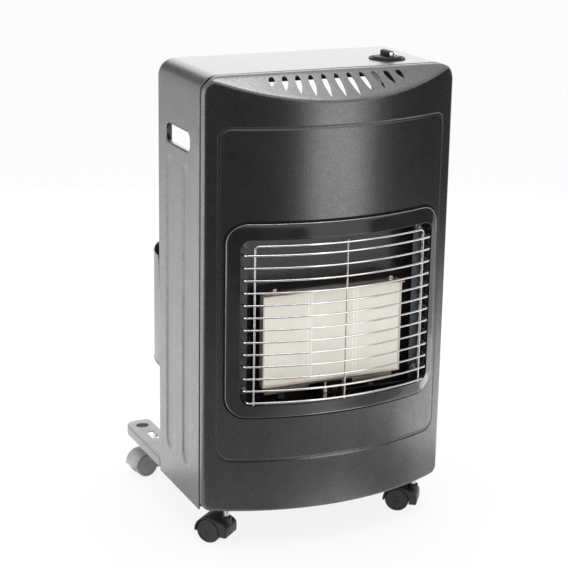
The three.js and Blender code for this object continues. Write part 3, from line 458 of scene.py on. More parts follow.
# the front panel: outline, groove, window and slots, then how finely its rings are divided
panel = dict(foot=60.6, footCorner=13, edge=5.0,
             grooveX=189, grooveFoot=147.5, grooveTop=671, grooveCorner=18, grooveDepth=0.9, grooveWide=3.6,
             windowX=174, windowFoot=224, windowTop=523, windowCorner=28,
             slots=11, slotSpan=208, slotLong=42, slotShort=18, slotWide=9.4, slotSetback=6.5, slotFoot=690,
             slotRise=90, fan=22, rimSteps=34, fieldSteps=18, counts=(12, 120, 96))


def ringPoints(x1, z0, z1, cornerTop, cornerFoot, counts):
    # points anticlockwise seen from the front, starting at the lower right corner's arc
    cornerSteps, sideSteps, endSteps = counts
    corners = [(x1 - cornerFoot, z0 + cornerFoot, cornerFoot, -90),
               (x1 - cornerTop, z1 - cornerTop, cornerTop, 0),
               (-x1 + cornerTop, z1 - cornerTop, cornerTop, 90),
               (-x1 + cornerFoot, z0 + cornerFoot, cornerFoot, 180)]
    arcs = [arcPoints(x, z, radius, start, start + 90, cornerSteps) for x, z, radius, start in corners]
    points = []
    for k, arc in enumerate(arcs):
        here, goal = arc[-1], arcs[(k + 1) % 4][0]
        steps = sideSteps if k % 2 == 0 else endSteps
        points += arc
        for s in range(1, steps):
            t = s / steps
            points.append((here[0] + (goal[0] - here[0]) * t, here[1] + (goal[1] - here[1]) * t))
    return points


def faceBack(x, z):
    # bulged front and sloped top, run together over a soft fold
    front = bulge(x)
    slope = -curve["panelReturn"] - (body["top"] - z) / curve["fall"]
    near = max(curve["fold"] - abs(front - slope), 0.0) / curve["fold"]
    return max(front, slope) + near * near * curve["fold"] / 4


def mixRings(first, second, t):
    return [(a[0] + (b[0] - a[0]) * t, a[1] + (b[1] - a[1]) * t) for a, b in zip(first, second)]


def makeFrontPanel():
    p = panel
    edge, wide = p["edge"], p["grooveWide"]

    def outer(inset):
        return ringPoints(body["half"] - inset, p["foot"] + inset, body["top"] - inset,
                          body["corner"] - inset, p["footCorner"] - inset, p["counts"])

    def groove(offset):
        corner = p["grooveCorner"] + offset
        return ringPoints(p["grooveX"] + offset, p["grooveFoot"] - offset, p["grooveTop"] + offset,
                          corner, corner, p["counts"])

    def onFace(points, dip=0.0):
        return [(x, faceBack(x, z) + dip, z) for x, z in points]

    # the side return, the rounded edge, the rim, the groove and the field in to the window
    rings = []
    for inset, forward in ((2.2, 0.35), (2.0, 1.6), (1.4, 2.7), (0.7, 3.6), (0.2, 4.4), (0.0, 5.2)):
        rings.append([(x, min(-forward, faceBack(x, z) + curve["panelReturn"] - forward + 0.35), z)
                      for x, z in outer(inset)])
    for inset in (0.0, 0.3, 0.8, 1.5, 2.4, 3.6, edge):
        rings.append(onFace(outer(inset), edge - math.sqrt(max(edge * edge - (edge - inset) ** 2, 0.0))))
    rimOuter, rimInner = outer(edge), groove(wide + 1)
    for s in range(1, p["rimSteps"] + 1):
        rings.append(onFace(mixRings(rimOuter, rimInner, s / p["rimSteps"])))
    for s in (-8, *range(-6, 7), 8):
        rings.append(onFace(groove(-s / 8 * wide), p["grooveDepth"] * (math.cos(math.pi * s / 8) + 1) / 2))
    inner = groove(-wide - 1)
    window = ringPoints(p["windowX"], p["windowFoot"], p["windowTop"], p["windowCorner"], p["windowCorner"],
                        p["counts"])
    for s in range(p["fieldSteps"] + 1):
        rings.append(onFace(mixRings(inner, window, s / p["fieldSteps"])))
    piece = ringSheet("frontPanel", rings, towards=lambda c: Vector((0, -1, 0)))
    thicken(piece)
    cutWith(piece, slotCutters())
    finished(piece, frontPaint, "cabinet", ["front_panel"])
    # a near-black strip in the seam behind the panel's edge: painted shade along the seam
    strip = [[(x, -forward, z) for x, z in outer(inset)]
             for inset, forward in ((0.7, 0.6), (0.7, 3.3), (2.0, 3.3), (2.0, 0.6), (0.7, 0.6))]
    finished(ringSheet("seamShadeStrip", strip, 50), shadeBlack, "cabinet")


def slotCutters():
    # lens-shaped cutters, blunt at the back and pointed to the front, fanned outwards
    p = panel
    bm = bmesh.new()
    for k in range(p["slots"]):
        place = 2 * k / (p["slots"] - 1) - 1
        long = p["slotLong"] - (p["slotLong"] - p["slotShort"]) * place * place
        lean = math.radians(p["fan"] * place)
        ring = bmesh.ops.create_circle(bm, cap_ends=True, segments=28, radius=1)["verts"]
        for vert in ring:
            angle = math.atan2(vert.co.y, vert.co.x)
            s = (1 - math.cos(angle)) / 2            # 0 at the back, 1 at the front
            width = p["slotWide"] / 2 * math.sin(math.pi * s ** 0.64) ** 0.72 if 0 < s < 1 else 0
            x = math.copysign(width, math.sin(angle)) if abs(math.sin(angle)) > 1e-6 else 0
            y = -long * s
            vert.co = at(place * p["slotSpan"] / 2 + x * math.cos(lean) - y * math.sin(lean),
                         x * math.sin(lean) + y * math.cos(lean) - curve["panelReturn"] - p["slotSetback"],
                         p["slotFoot"])
        pushOut(bm, bmesh.ops.extrude_face_region(bm, geom=[ring[0].link_faces[0]]), (0, 0, p["slotRise"]))
    bmesh.ops.recalc_face_normals(bm, faces=bm.faces)
    return meshPiece("slotCutters", bm)


# the cabinet shell: its two pressed ribs a side, hand holes with their lips, rear flanges and top apron
shell = dict(ribs=((38, 72), (109, 143)), ribFoot=115, ribTop=600, ribDepth=2.0, ribSoft=4.0,
             holeFront=38, holeBack=144, holeFoot=621, holeTop=655, holeCorner=14, lip=7,
             flange=23, apron=48.6, roll=3, well=24.2)


def archPoints(side, top, corner):
    # the shell's outline from the left foot over the top to the right foot, with whether it is on a side
    upright, bend, across = 150, 14, 40
    half, crown = body["half"] - side, body["top"] - top
    rise = crown - corner - body["foot"]
    left = [(-half, body["foot"] + rise * s / upright, True) for s in range(upright)]
    right = [(half, crown - corner - rise * s / upright, True) for s in range(upright + 1)]
    roof = arcPoints(-half + corner, crown - corner, corner, 180, 90, bend)[:-1]
    roof += [(-half + corner + (2 * half - 2 * corner) * s / across, crown) for s in range(across)]
    roof += arcPoints(half - corner, crown - corner, corner, 90, 0, bend)[:-1]
    return left + [(x, z, False) for x, z in roof] + right


def ribPress(back, z):
    # how far the two side ribs are pressed in at this point
    deepest = 0.0
    for front, rear in shell["ribs"]:
        mid, half = (front + rear) / 2, (rear - front) / 2
        zNear = min(max(z, shell["ribFoot"] + half), shell["ribTop"] - half)
        inside = half - math.hypot(back - mid, z - zNear)
        deepest = max(deepest, shell["ribDepth"] * soften(inside / shell["ribSoft"]))
    return deepest


def makeShell():
    # stations from front to back with their inset: rounded edges, and close steps over the ribs
    depth, roll = body["depth"], shell["roll"]
    before, after, step, through = 3.5, 2.5, 1.25, 12
    stations = [(0.35, 2.0), (0.5, 1.2), (0.95, 0.55), (1.7, 0.12), (2.6, 0.0)]
    for flat, (front, rear) in zip((range(4, 36, 4), range(78, 106, 4)), shell["ribs"]):
        count = int((rear + after - front + before) / step) + 1
        stations += [(back, 0.0) for back in flat]
        stations += [(front - before + step * k, 0.0) for k in range(count)]
    stations += [(back, 0.0) for back in range(149, 173, 4)]
    rearEdge = ((3, 0.0), (1.8, 0.25), (0.8, 0.8), (0.2, 1.7), (0, roll))
    stations += [(depth - short, inset) for short, inset in rearEdge]
    rows = []
    for back, inset in stations:
        row = []
        for x, z, onSide in archPoints(inset, inset, body["corner"] - inset):
            press = ribPress(back, z) if onSide else 0.0
            row.append((x - math.copysign(press, x), back, z))
        rows.append(row)
    for share in (0.35, 0.7, 1.0):
        side = roll + (shell["flange"] - roll) * share
        top = roll + (shell["apron"] - roll) * share
        rows.append([(x, depth, z) for x, z, onSide in archPoints(side, top, max(body["corner"] - side, 4))])
    piece = formedSheet("cabinetShell", len(rows[0]) - 1, len(rows) - 1, lambda i, j: at(*rows[j][i]),
                        towards=lambda c: Vector((c.x, 0, c.z - 0.4)))
    thicken(piece)
    cutter = bmesh.new()
    for side in (-1, 1):
        hole = boxMesh(cutter, (side * body["half"] - through, shell["holeFront"], shell["holeFoot"]),
                       (side * body["half"] + through, shell["holeBack"], shell["holeTop"]))
        roundBox(cutter, hole, 0, shell["holeCorner"], 10)
    well = drumMesh(cutter, shell["well"], 20, 48)
    bmesh.ops.translate(cutter, vec=at(knobSizes["x"], knobSizes["back"], body["top"]), verts=well)
    bmesh.ops.recalc_face_normals(cutter, faces=cutter.faces)
    cutWith(piece, meshPiece("shellCutters", cutter))
    addHoleLips(piece)
    finished(piece, paint, "cabinet", ["cabinet_shell"])


def addHoleLips(piece):
    # rolled lip round each hand hole, added to the shell's own mesh; the profile gives depth in and inset
    s = shell
    profile = [(0.0, 0.3), (0.35, 0.05), (0.9, 0.0), (2.0, 0.5), (3.0, 1.3), (s["lip"], 1.3), (s["lip"], 2.4),
               (1.4, 2.4), (0.0, 0.3)]
    middle, reach = (s["holeFront"] + s["holeBack"]) / 2, (s["holeBack"] - s["holeFront"]) / 2
    bm = openMesh(piece)
    for side in (-1, 1):
        rings = []
        for deep, inset in profile:
            corner = s["holeCorner"] - inset
            ring = ringPoints(reach - inset, s["holeFoot"] + inset, s["holeTop"] - inset, corner, corner,
                              (8, 4, 20))
            rings.append([(side * (body["half"] - deep), middle + a, z) for a, z in ring])
        lip = ringSheet("holeLip", rings)
        bm.from_mesh(lip.data)
        discard(lip)
    closeMesh(piece, bm, crease)


# the raised window surround
surround = dict(halfX=182.5, foot=216.5, top=530.5, corner=34, inner=15, side=20, rail=26)


def makeSurround():
    s = surround

    def ring(share, proud):
        t = min(share, 1.0)
        corner = s["corner"] + (s["inner"] - s["corner"]) * t
        around = ringPoints(s["halfX"] - s["side"] * t, s["foot"] + s["rail"] * t, s["top"] - s["rail"] * t,
                            corner, corner, (12, 24, 48))
        return [(x, bulge(x) - proud, z) for x, z in around]

    def formed(name, profile):
        # profile pairs: share of the way in, depth proud of the bulge
        return ringSheet(name, [ring(*pair) for pair in profile], 50)

    piece = formed("windowSurround", [
        (0.2, 0.5), (0.12, 0.5), (0.12, 1.9), (0.125, 2.7), (0.14, 3.3), (0.17, 3.7), (0.2, 4.1), (0.3, 5.2),
        (0.55, 7.5), (0.8, 9.8), (0.93, 11.0), (0.975, 11.5), (1.0, 11.2), (1.012, 10.4), (1.012, -0.2),
        (0.95, -0.2), (0.95, 9.4), (0.23, 3.0), (0.2, 1.6), (0.2, 0.5)])
    finished(piece, darkEnamel, "cabinet", ["window_surround"])
    # a near-black ring just outside the rim: painted shade in the channel round the surround
    shadeRing = formed("surroundShadeRing", [
        (0.0, 0.4), (0.0, 0.9), (0.01, 1.1), (0.11, 1.1), (0.115, 0.9), (0.115, 0.4), (0.0, 0.4)])
    finished(shadeRing, shadeBlack, "cabinet")
    # the rim's bead in pale metal, not the black enamel, so that it shows as a light line: a painted
    # highlight along the rim
    bead = wirePiece("surroundBead", [[at(*spot) for spot in ring(0.155, 2.95)]], 0.8, 4, cyclic=True)
    finished(bead, rimHighlightMetal, "cabinet")


# the wire guard; the lowest cross wire is shorter by the tuck
guard = dict(gauge=3.0, proud=14.0, wires=13, pitch=19.5, lowest=247.5, tuck=4.5, hookX=157, hook=7.0,
             postX=143, top=495.3, bend=6.0, weld=2.4, foot=243.5, rodBack=-28.0, rodTop=493.5)


def makeGuard():
    g = guard
    hook, bend = g["hook"], g["bend"]
    quarter = arcPoints(0, 0, 1, 0, 90, 6)
    sweep = [2 * s / 24 - 1 for s in range(1, 24)]

    def onArch(x, z):
        return at(x, bulge(x, g["proud"]) + g["weld"], z)

    # cross wires, bent back to a rod at either side
    runs = []
    for k in range(g["wires"]):
        z = g["lowest"] + k * g["pitch"]
        reach = g["hookX"] - (g["tuck"] if k == 0 else 0) - hook
        legBack = bulge(reach, g["proud"]) + hook
        ends = [at(side * g["hookX"], g["rodBack"], z) for side in (-1, 1)]
        left, right = [[at(side * (reach + hook * c), legBack - hook * s, z) for c, s in quarter]
                       for side in (-1, 1)]
        arc = [at(reach * t, bulge(reach * t, g["proud"]), z) for t in sweep]
        runs.append([ends[0]] + left + arc + right[::-1] + [ends[1]])
    # the inverted U, the centre wire and the two rods
    post, shoulder = g["postX"] - bend, g["top"] - bend
    runs.append([onArch(-g["postX"], g["foot"])]
                + [onArch(-post - bend * c, shoulder + bend * s) for c, s in quarter]
                + [onArch(post * t, g["top"]) for t in sweep]
                + [onArch(post + bend * c, shoulder + bend * s) for c, s in quarter[::-1]]
                + [onArch(g["postX"], g["foot"])])
    runs.append([onArch(0, g["foot"]), onArch(0, g["top"] + 4)])
    for side in (-1, 1):
        runs.append([at(side * g["hookX"], g["rodBack"], z) for z in (g["foot"], g["rodTop"])])
    piece = wirePiece("wireGuard", runs, g["gauge"] / 2, 3)
    finished(piece, chrome, "cabinet", ["wire_guard"])


def makePlaques():
    b = burner
    for k, word in enumerate(("left", "middle", "right")):
        bm = bmesh.new()
        x = (k - 1) * (b["plaque"] + b["joint"])
        boxMesh(bm, (x - b["plaque"] / 2, b["face"], b["foot"]),
                (x + b["plaque"] / 2, b["face"] + b["thick"], b["foot"] + b["high"]), 1.0)
        piece = meshPiece("plaque" + word.capitalize(), bm, 60)
        finished(piece, ceramic, "cabinet", ["ceramic_plaque_" + word])


# the knob: place on the top, grip, and the insert that marks its front end
knobSizes = dict(x=128, back=55, gripLong=31, gripWide=11, gripFoot=3.0, gripTop=13.2, insertWide=8,
                 insertFoot=4.5, insertTop=11.7)


def makeKnob():
    k = knobSizes
    x, top = k["x"], body["top"]
    lift = Matrix.Translation(at(x, k["back"], top))
    bm = bmesh.new()
    turnedMesh(bm, [(6, -5.4), (22.6, -5.4), (22.6, 0.3), (28.6, 0.3), (29, 0.5), (29, 1.0), (28.7, 1.5),
                    (28, 1.9), (27, 2.0), (25.8, 1.8), (24.4, 1.3), (23.4, 1.0), (22.8, 0.8), (22.5, 0.4),
                    (22.5, -4.2), (6, -4.2), (6, -5.4)], 64, lift)
    finished(meshPiece("knobBezel", bm, 40), bezelPlastic, "cabinet", ["knob_bezel"])
    bm = bmesh.new()
    turnedMesh(bm, [(0, 0.3), (20.4, 0.3), (20.9, 0.8), (21, 1.6), (20.8, 2.8), (20, 3.8), (18.6, 4.2),
                    (12, 4.6), (0, 4.8)], 64, lift)
    end, half = k["gripLong"] / 2, k["gripWide"] / 2
    boxMesh(bm, (x - half, k["back"] - end, top + k["gripFoot"]),
            (x + half, k["back"] + end, top + k["gripTop"]), 3.4, 5)
    finished(meshPiece("knobHandle", bm, 50), blackPlastic, "knob", ["knob"])
    bm = bmesh.new()
    half = k["insertWide"] / 2
    boxMesh(bm, (x - half, k["back"] - end - 1.0, top + k["insertFoot"]),
            (x + half, k["back"] - end + 1.2, top + k["insertTop"]), 0.9)
    finished(meshPiece("knobMark", bm, 50), chrome, "knob", ["knob_insert"])


# the base tray: outline, an oval hole and a slot in each rear arm, and the raised floor
tray = dict(top=77.5, skirt=15.2, arm=46.7, reach=354, rear=290, corner=22, front=-19.5, frontIn=15, side=1,
            sideIn=1.5, back=175.3, tip=8, crotch=10, holeX=185, holeBack=328, hole=11.5, squash=0.85,
            slotX=183, slotHalf=7, slotFront=261, slotBack=295, floorX=150, floorFront=45, floorBack=168,
            floorFoot=76.4, floorTop=79)


def trayOutline():
    t = tray
    half, c, tip, crotch = body["half"], t["corner"], t["tip"], t["crotch"]
    narrow, inside, inner = half - t["frontIn"], half - t["sideIn"], half - t["arm"]
    right = [(narrow, t["front"]), (narrow, t["side"]), (inside, t["side"]), (inside, t["back"])]
    right.append((half, t["back"]))
    right += arcPoints(half - c, t["reach"] - c, c, 0, 90, 8)
    right += arcPoints(inner + tip, t["reach"] - tip, tip, 90, 180, 5)
    right += arcPoints(inner - crotch, t["rear"] + crotch, crotch, 0, -90, 5)
    return right + [(-x, back) for x, back in reversed(right)]


def makeTray():
    t = tray
    outline = trayOutline()
    bm = bmesh.new()
    ring = bmesh.ops.create_circle(bm, cap_ends=True, segments=len(outline), radius=1)["verts"]
    for vert, (x, back) in zip(ring, outline):
        vert.co = at(x, back, t["top"])
    top = ring[0].link_faces[0]
    rim = list(top.edges)
    pushOut(bm, bmesh.ops.extrude_edge_only(bm, edges=rim), (0, 0, -t["skirt"]))
    bmesh.ops.recalc_face_normals(bm, faces=bm.faces)
    if top.normal.z < 0:
        bmesh.ops.reverse_faces(bm, faces=bm.faces)
    bevelEdges(bm, rim, 1.6, 4)
    piece = meshPiece("baseTray", bm, 40)
    thicken(piece)
    cutter = bmesh.new()
    for side in (-1, 1):
        oval = drumMesh(cutter, t["hole"], 20, 40)
        bmesh.ops.scale(cutter, vec=(1, t["squash"], 1), verts=oval)
        bmesh.ops.translate(cutter, vec=at(side * t["holeX"], t["holeBack"], t["top"]), verts=oval)
        slot = boxMesh(cutter, (side * t["slotX"] - t["slotHalf"], t["slotFront"], t["top"] - 10),
                       (side * t["slotX"] + t["slotHalf"], t["slotBack"], t["top"] + 10))
        roundBox(cutter, slot, 2, t["slotHalf"] - 0.1, 8)
    bmesh.ops.recalc_face_normals(cutter, faces=cutter.faces)
    cutWith(piece, meshPiece("trayCutters", cutter))
    bm = openMesh(piece)
    boxMesh(bm, (-t["floorX"], t["floorFront"], t["floorFoot"]),
            (t["floorX"], t["floorBack"], t["floorTop"]), 1.2)
    closeMesh(piece, bm, 40)
    finished(piece, paint, "cabinet", ["base_tray"])


# the bottle guard: its rolled edges, the slant of its ends, the middle of the bay that it goes round, and its
# plan from the right end to the middle as (x, back)
band = dict(foot=238, top=425, edge=6, slantFoot=320, slant=6.5, bay=176,
            plan=[(207.5, 176.5), (206.5, 196), (203, 214), (195.5, 235), (180, 262), (158, 281), (128, 292),
                  (86, 298), (42, 299.7), (0, 300)])


def bandPoint(t):
    # the plan from the right end round to the left one, as a smooth run through its points
    keys = band["plan"] + [(-x, back) for x, back in reversed(band["plan"][:-1])]
    span = t * (len(keys) - 1)
    k = min(int(span), len(keys) - 2)
    f = span - k
    four = [keys[max(k - 1, 0)], keys[k], keys[k + 1], keys[min(k + 2, len(keys) - 1)]]
    return [(2 * b + (d - a) * f + (2 * a - 5 * b + 4 * d - e) * f ** 2
             + (3 * b - a - 3 * d + e) * f ** 3) / 2 for a, b, d, e in zip(*four)]


def makeBand():
    steps, rise, near, ends = 110, 8, 0.004, 18
    edge, bay = band["edge"], band["bay"]
    rows = [(0.0, -0.6), (0.4, 0.5), (1.4, 0.8), (2.8, 0.8), (3.8, 0.5), (4.6, 0.1), (edge, 0)]
    high = band["top"] - band["foot"]
    levels = rows + [(edge + (high - 2 * edge) * k / rise, 0) for k in range(1, rise)]
    levels += [(high - up, out) for up, out in reversed(rows)]

    def place(i, j):
        up, out = levels[j]
        z = band["foot"] + up
        slant = max(z - band["slantFoot"], 0) / (band["top"] - band["slantFoot"]) * band["slant"]
        t = i / steps
        x, back = bandPoint(t)
        ahead, behind = bandPoint(min(t + near, 1)), bandPoint(max(t - near, 0))
        alongX, alongBack = ahead[0] - behind[0], ahead[1] - behind[1]
        size = math.hypot(alongX, alongBack)
        outX, outBack = -alongBack / size, alongX / size
        if outX * x + outBack * (back - bay) < 0:
            outX, outBack = -outX, -outBack
        ease = max(0.0, 1 - min(t, 1 - t) * ends)
        return at(x + outX * out, back + outBack * out + slant * ease, z)

    piece = formedSheet("bottleGuardBand", steps, len(levels) - 1, place,
                        towards=lambda c: Vector((c.x, c.y - (bay + seamBack) * mm, 0)))
    thicken(piece)
    finished(piece, paint, "bottle_guard", ["bottle_guard"])


# a castor, from the floor and its stem's axis; each place is x, back and heading in degrees
castor = dict(radius=20, width=14, web=7, gap=0.3, trail=24, hood=21.0, hoodWall=2.7,
              places=dict(front_left=(-168, -11.5, 130), front_right=(168, -11.5, 143),
                          rear_left=(-171.5, 303, 190), rear_right=(171.5, 303, -10)))


def makeCastor(name, x, back, heading):
    # the rear pair's plastic is painted paler, as painted light for the brighter light falling on the rear
    # castors
    plastic = greyPlastic if name.startswith("rear") else castorPlastic
    c = castor
    place = Matrix.Translation(at(x, back, 0)) @ Matrix.Rotation(math.radians(heading), 4, "Z")
    axle = place @ Matrix.Translation((c["trail"] * mm, 0, c["radius"] * mm))
    inner = c["web"] / 2 + c["gap"]
    face = inner + c["width"]
    label = "castor" + "".join(word.capitalize() for word in name.split("_"))
    profile = [(0, face - 1.2), (3.4, face - 1.2), (4.2, face - 0.4), (5.6, face - 0.3), (6.4, face - 1.0),
               (15.2, face - 1.0), (16.0, face - 0.2), (17.6, face), (18.8, face - 0.5), (19.6, face - 1.4),
               (20, face - 2.8), (20, inner + 2.4), (19.6, inner + 1.2), (18.8, inner + 0.4), (17.6, inner),
               (3.3, inner), (3.3, face - 2.4), (0, face - 2.4)]
    for side, word in ((-1, "left"), (1, "right")):
        bm = bmesh.new()
        turnedMesh(bm, profile, 56, axle @ Matrix.Rotation(math.radians(-90 * side), 4, "X"))
        piece = meshPiece(f"{label}Wheel{word.capitalize()}", bm, 35)
        wheel = f"castor_{name}_wheel_{word}"
        finished(piece, plastic, wheel, [wheel])
    # the hood: one body over both wheels and down ahead of the stem, hollowed beside the centre web
    wide = face + 1
    outline = arcPoints(c["trail"], c["radius"], c["hood"] + c["hoodWall"], -3, 105, 27)
    outline += [(9.5, 41.4), (3.5, 39.6), (-1.5, 37.8), (-5.2, 35.8), (-7.9, 33.2), (-9.3, 30.2), (-9.6, 27),
                (-9.6, 18), (-9.2, 15.4), (-8.0, 14.2), (-6, 14), (3.6, 14), (10, 12.6), (24, 13), (40, 15)]
    bm = bmesh.new()
    ring = bmesh.ops.create_circle(bm, cap_ends=True, segments=len(outline), radius=1)["verts"]
    for vert, (ahead, z) in zip(ring, outline):
        vert.co = Vector((ahead * mm, -wide * mm, z * mm))
    pushOut(bm, bmesh.ops.extrude_face_region(bm, geom=[ring[0].link_faces[0]]), (0, 2 * wide, 0))
    bmesh.ops.recalc_face_normals(bm, faces=bm.faces)
    caps = [f for f in bm.faces if len(f.verts) > 8]
    bevelEdges(bm, {e for f in caps for e in f.edges}, 1.3, 3)
    bmesh.ops.transform(bm, matrix=place, verts=bm.verts)
    hood = meshPiece(label + "Hood", bm, 40)
    cutter = bmesh.new()
    for low, high in ((c["web"] / 2, wide + 6), (-wide - 6, -c["web"] / 2)):
        drum = drumMesh(cutter, c["hood"], high - low, 72)
        bmesh.ops.translate(cutter, vec=(0, 0, (low + high) / 2 * mm), verts=drum)
        bmesh.ops.transform(cutter, matrix=axle @ Matrix.Rotation(math.radians(90), 4, "X"), verts=drum)
    cutWith(hood, meshPiece("hoodCutter", cutter))
    bm = openMesh(hood)
    for v in bm.verts:
        v.tag = True
    turnedMesh(bm, [(5.3, 45), (7.9, 45), (8.5, 44.4), (8.5, 30), (5.3, 30), (5.3, 45)], 40, place)
    closeMesh(hood, bm, 40)
    finished(hood, plastic, f"castor_{name}", [f"castor_{name}_hood"])


# the guard's screws, in two rows; the recess is half the length and half the width of its cross
screw = dict(x=150, back=-29.8, lower=257.25, upper=491.25, recess=(3.0, 0.55), recessFloor=1.6)


def makeScrews():
    s = screw
    for side, word in ((-1, "left"), (1, "right")):
        for level in ("lower", "upper"):
            x, z = side * s["x"], s[level]
            bm = bmesh.new()
            turn = Matrix.Translation(at(x, s["back"], z)) @ Matrix.Rotation(math.radians(90), 4, "X")
            turnedMesh(bm, [(0, -9), (2, -9), (2, 0), (8, 0), (8, 0.8), (7.6, 1.1), (5.2, 1.2), (5.0, 1.6),
                            (4.9, 2.2), (4.2, 2.8), (2.6, 3.0), (0, 3.0)], 40, turn)
            piece = meshPiece(f"guardScrew{word.capitalize()}{level.capitalize()}", bm, 35)
            cutter = bmesh.new()
            for half, tall in (s["recess"][::-1], s["recess"]):
                boxMesh(cutter, (x - half, s["back"] - 3.4, z - tall),
                        (x + half, s["back"] - s["recessFloor"], z + tall))
            cutWith(piece, meshPiece("recess", cutter))
            finished(piece, screwSteel, "cabinet", [f"guard_screw_{word}_{level}"])


makeFrontPanel()
print("front panel made")
makeShell()
print("shell made")
makeSurround()
makeGuard()
makeScrews()
print("window made")
makePlaques()
makeKnob()
makeTray()
makeBand()
print("tray and bottle guard made")
for name, spot in castor["places"].items():
    makeCastor(name, *spot)
print("castors made")

# the CAD nodes that stay as they are, each with its material
finishes = {
    "burner_housing": housingSheet, "burner_plenum": darkInnerSteel, "burner_frame": burnerSteel,
    "burner_apron": apronSheet, "burner_manifold": darkInnerSteel, "pilot_bracket": darkInnerSteel,
    "pilot_burner": brass, "thermocouple": copper, "spark_electrode": insulator, "spark_lead": leadSleeve,
    "pilot_pipe": copper, "burner_pipe": galvanised, "gas_valve": castAlloy, "valve_bracket": galvanised,
    "valve_spindle": screwSteel, "inlet_nozzle": brass, "bay_partition": galvanised,
    "plaque_clip_left": burnerSteel, "plaque_clip_right": burnerSteel,
}
for word in ("left", "middle", "right"):
    finishes["injector_" + word] = brass
for name in castor["places"]:
    finishes[f"castor_{name}_stem"] = castorSteel
    finishes[f"castor_{name}_axle"] = axleSteel
for node, material in finishes.items():
    piece = bpy.data.objects.get(node)
    piece.data.materials.clear()
    piece.data.materials.append(material)
    for slot in piece.material_slots:
        slot.material = material
print("kept nodes finished")


def plainMix(tree, first, second):
    # second where a camera, glossy or transmission ray looks, first elsewhere
    paths = tree.nodes.new("ShaderNodeLightPath")
    seen = mathOf(tree, "MAXIMUM", paths.outputs["Is Camera Ray"], paths.outputs["Is Glossy Ray"])
    seen = mathOf(tree, "MAXIMUM", seen, paths.outputs["Is Transmission Ray"])
    mix = tree.nodes.new("ShaderNodeMixShader")
    tree.links.new(seen, mix.inputs["Fac"])
    tree.links.new(first, mix.inputs[1])
    tree.links.new(second, mix.inputs[2])
    return mix.outputs["Shader"]


def makeFloor():
    bm = bmesh.new()
    bmesh.ops.create_grid(bm, x_segments=2, y_segments=2, size=8.0)
    floor = meshPiece("studioFloor", bm)
    material, tree, shader, _ = blank("floorWhite")
    shader.inputs["Base Color"].default_value = (0.8, 0.8, 0.8, 1)
    shader.inputs["Roughness"].default_value = 0.9
    shader.inputs["Specular IOR Level"].default_value = 0.0
    glow = tree.nodes.new("ShaderNodeEmission")
    glow.inputs["Strength"].default_value = 1.0
    shade = tree.nodes.new("ShaderNodeMixShader")
    shade.inputs["Fac"].default_value = 0.86
    tree.links.new(shader.outputs["BSDF"], shade.inputs[1])
    tree.links.new(glow.outputs["Emission"], shade.inputs[2])
    tree.links.new(plainMix(tree, shader.outputs["BSDF"], shade.outputs["Shader"]),
                   tree.nodes["Material Output"].inputs["Surface"])
    floor.data.materials.append(material)


def backgroundOf(tree, strength):
    node = tree.nodes.new("ShaderNodeBackground")
    node.inputs["Color"].default_value = (1, 1, 1, 1)
    node.inputs["Strength"].default_value = strength
    return node.outputs["Background"]


def makeWorld():
    world = bpy.data.worlds.new("studio")
    bpy.context.scene.world = world
    world.use_nodes = True
    tree = world.node_tree
    tree.nodes.clear()
    out = tree.nodes.new("ShaderNodeOutputWorld")
    tree.links.new(plainMix(tree, backgroundOf(tree, 0.95), backgroundOf(tree, 1.0)), out.inputs["Surface"])


def softbox(name, spot, aim, size, radiance, turn=0):
    lamp = bpy.data.lights.new(name, "AREA")
    lamp.shape = "RECTANGLE"
    lamp.size, lamp.size_y = size
    lamp.energy = radiance * math.pi * size[0] * size[1]
    holder = bpy.data.objects.new(name, lamp)
    holder.location = spot
    facing = (Vector(aim) - Vector(spot)).to_track_quat("-Z", "Y").to_matrix()
    holder.rotation_euler = (Matrix.Rotation(math.radians(turn), 3, "Z") @ facing).to_euler()
    bpy.context.scene.collection.objects.link(holder)
    holder.visible_camera = False


def reflectedOnly(piece, material, tree, strength):
    # a sheet with a glow of its own, seen by reflections alone
    shade = tree.nodes.new("ShaderNodeEmission")
    tree.links.new(strength, shade.inputs["Strength"])
    tree.links.new(shade.outputs["Emission"], tree.nodes["Material Output"].inputs["Surface"])
    piece.data.materials.append(material)
    piece.visible_camera = False
    piece.visible_diffuse = False
    piece.visible_shadow = False


def darkCard(name, first, second, low, high, tones=(0.02, 0.02)):
    # a studio flag standing from one floor point to another
    bm = bmesh.new()
    bmesh.ops.create_grid(bm, x_segments=8, y_segments=1, size=1.0)
    for vert in bm.verts:
        t = (vert.co.x + 1) / 2
        x = first[0] + (second[0] - first[0]) * t
        y = first[1] + (second[1] - first[1]) * t
        vert.co = (x, y, low if vert.co.y < 0 else high)
    card = meshPiece(name, bm)
    material, tree, _, coords = blank(name)
    reflectedOnly(card, material, tree, rangeOf(tree, noiseOf(tree, coords, 3, 2), 0.3, 0.7, *tones))


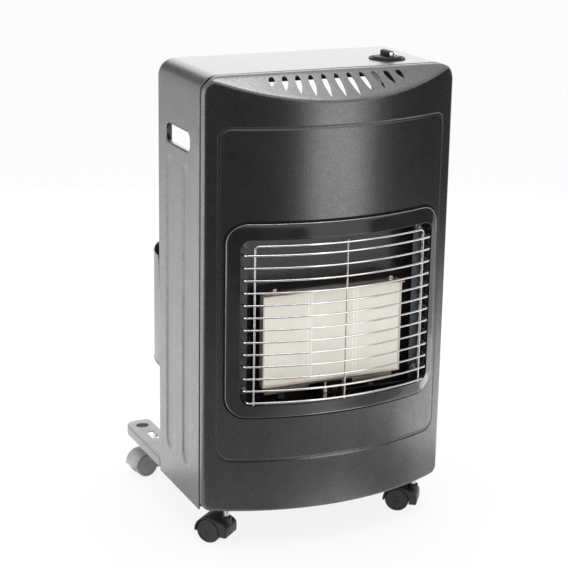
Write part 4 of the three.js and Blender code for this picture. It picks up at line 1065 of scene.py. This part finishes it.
def makeFloorReflectionCard():
    # a glowing card on the floor before the heater that only reflections see, painting the reflections in the
    # front: grey, paler to the right, with two bright places close to the front
    (x0, y0), (x1, y1) = (-1.6, -1.3), (0.5, -0.24)
    dim, grey, bright = 0.24, 0.52, 1.25
    bm = bmesh.new()
    bmesh.ops.create_grid(bm, x_segments=1, y_segments=1, size=1.0)
    for vert in bm.verts:
        vert.co = (x0 if vert.co.x < 0 else x1, y0 if vert.co.y < 0 else y1, 0.002)
    glowCard = meshPiece("floorReflectionCard", bm)
    material, tree, _, coords = blank("floorReflectionCard")
    axes = axesOf(tree, coords)
    across = rangeOf(tree, axes["X"], x0 * 0.3, x1, dim, grey)
    rise = rangeOf(tree, axes["X"], -0.2, 0.04, 0.0, bright)
    fall = rangeOf(tree, axes["X"], 0.08, 0.26, bright, 0.0)
    end = rangeOf(tree, axes["X"], 0.3, 0.44, 0.0, bright)
    places = mathOf(tree, "MAXIMUM", mathOf(tree, "MINIMUM", rise, fall), end)
    close = rangeOf(tree, axes["Y"], -0.43, -0.36, 0.0, 1.0)
    glow = mathOf(tree, "MAXIMUM", across, mathOf(tree, "MULTIPLY", places, close))
    reflectedOnly(glowCard, material, tree, glow)


def makeCamera():
    data = bpy.data.cameras.new("photoView")
    data.sensor_fit = "HORIZONTAL"
    data.sensor_width = 36.0
    data.lens = 106.56
    data.clip_end = 60
    camera = bpy.data.objects.new("photoView", data)
    camera.location = (-1.1163, -2.4000, 1.1588)
    camera.rotation_euler = (1.280614, -0.016105, -0.428347)
    bpy.context.scene.collection.objects.link(camera)
    bpy.context.scene.camera = camera


makeFloor()
makeWorld()
softbox("overheadBox", (0.11, -0.05, 2.4), (0.11, -0.04, 0.7), (1.2, 1.4), 4.8)
softbox("rearBox", (0.85, 1.9, 1.05), (0.05, 0, 0.75), (1.9, 1.7), 1.32)
softbox("sideSweep", (-1.22, 1.3, 0.006), (-1.22, 1.301, 1.0), (1.4, 2.9), 0.85, 24)
softbox("leftBox", (-1.35, 0.15, 0.45), (-0.2, -0.05, 0.35), (0.7, 0.9), 1.85)
softbox("frontBox", (0.48, -1.42, 0.42), (-0.02, -0.2, 0.45), (0.66, 0.84), 1.1)
softbox("rightSweep", (0.78, -0.2, 0.006), (0.78, -0.199, 1.0), (0.66, 0.5), 1.2)
darkCard("flagLeft", (-1.7, -0.7), (0.11, -1.25), 0.0, 1.0)
darkCard("flagBack", (-1.6, 2.2), (-0.3, 2.2), 1.15, 2.2, (0.2, 0.3))
darkCard("flagFar", (1.15, 0.0), (0.75, 0.8), 0.0, 0.45, (0.4, 0.5))
darkCard("flagRight", (0.80, -1.17), (1.5, 0.1), 0.1, 1.0)
makeFloorReflectionCard()
makeCamera()
bpy.context.scene.view_settings.view_transform = "Standard"
print("stage set")
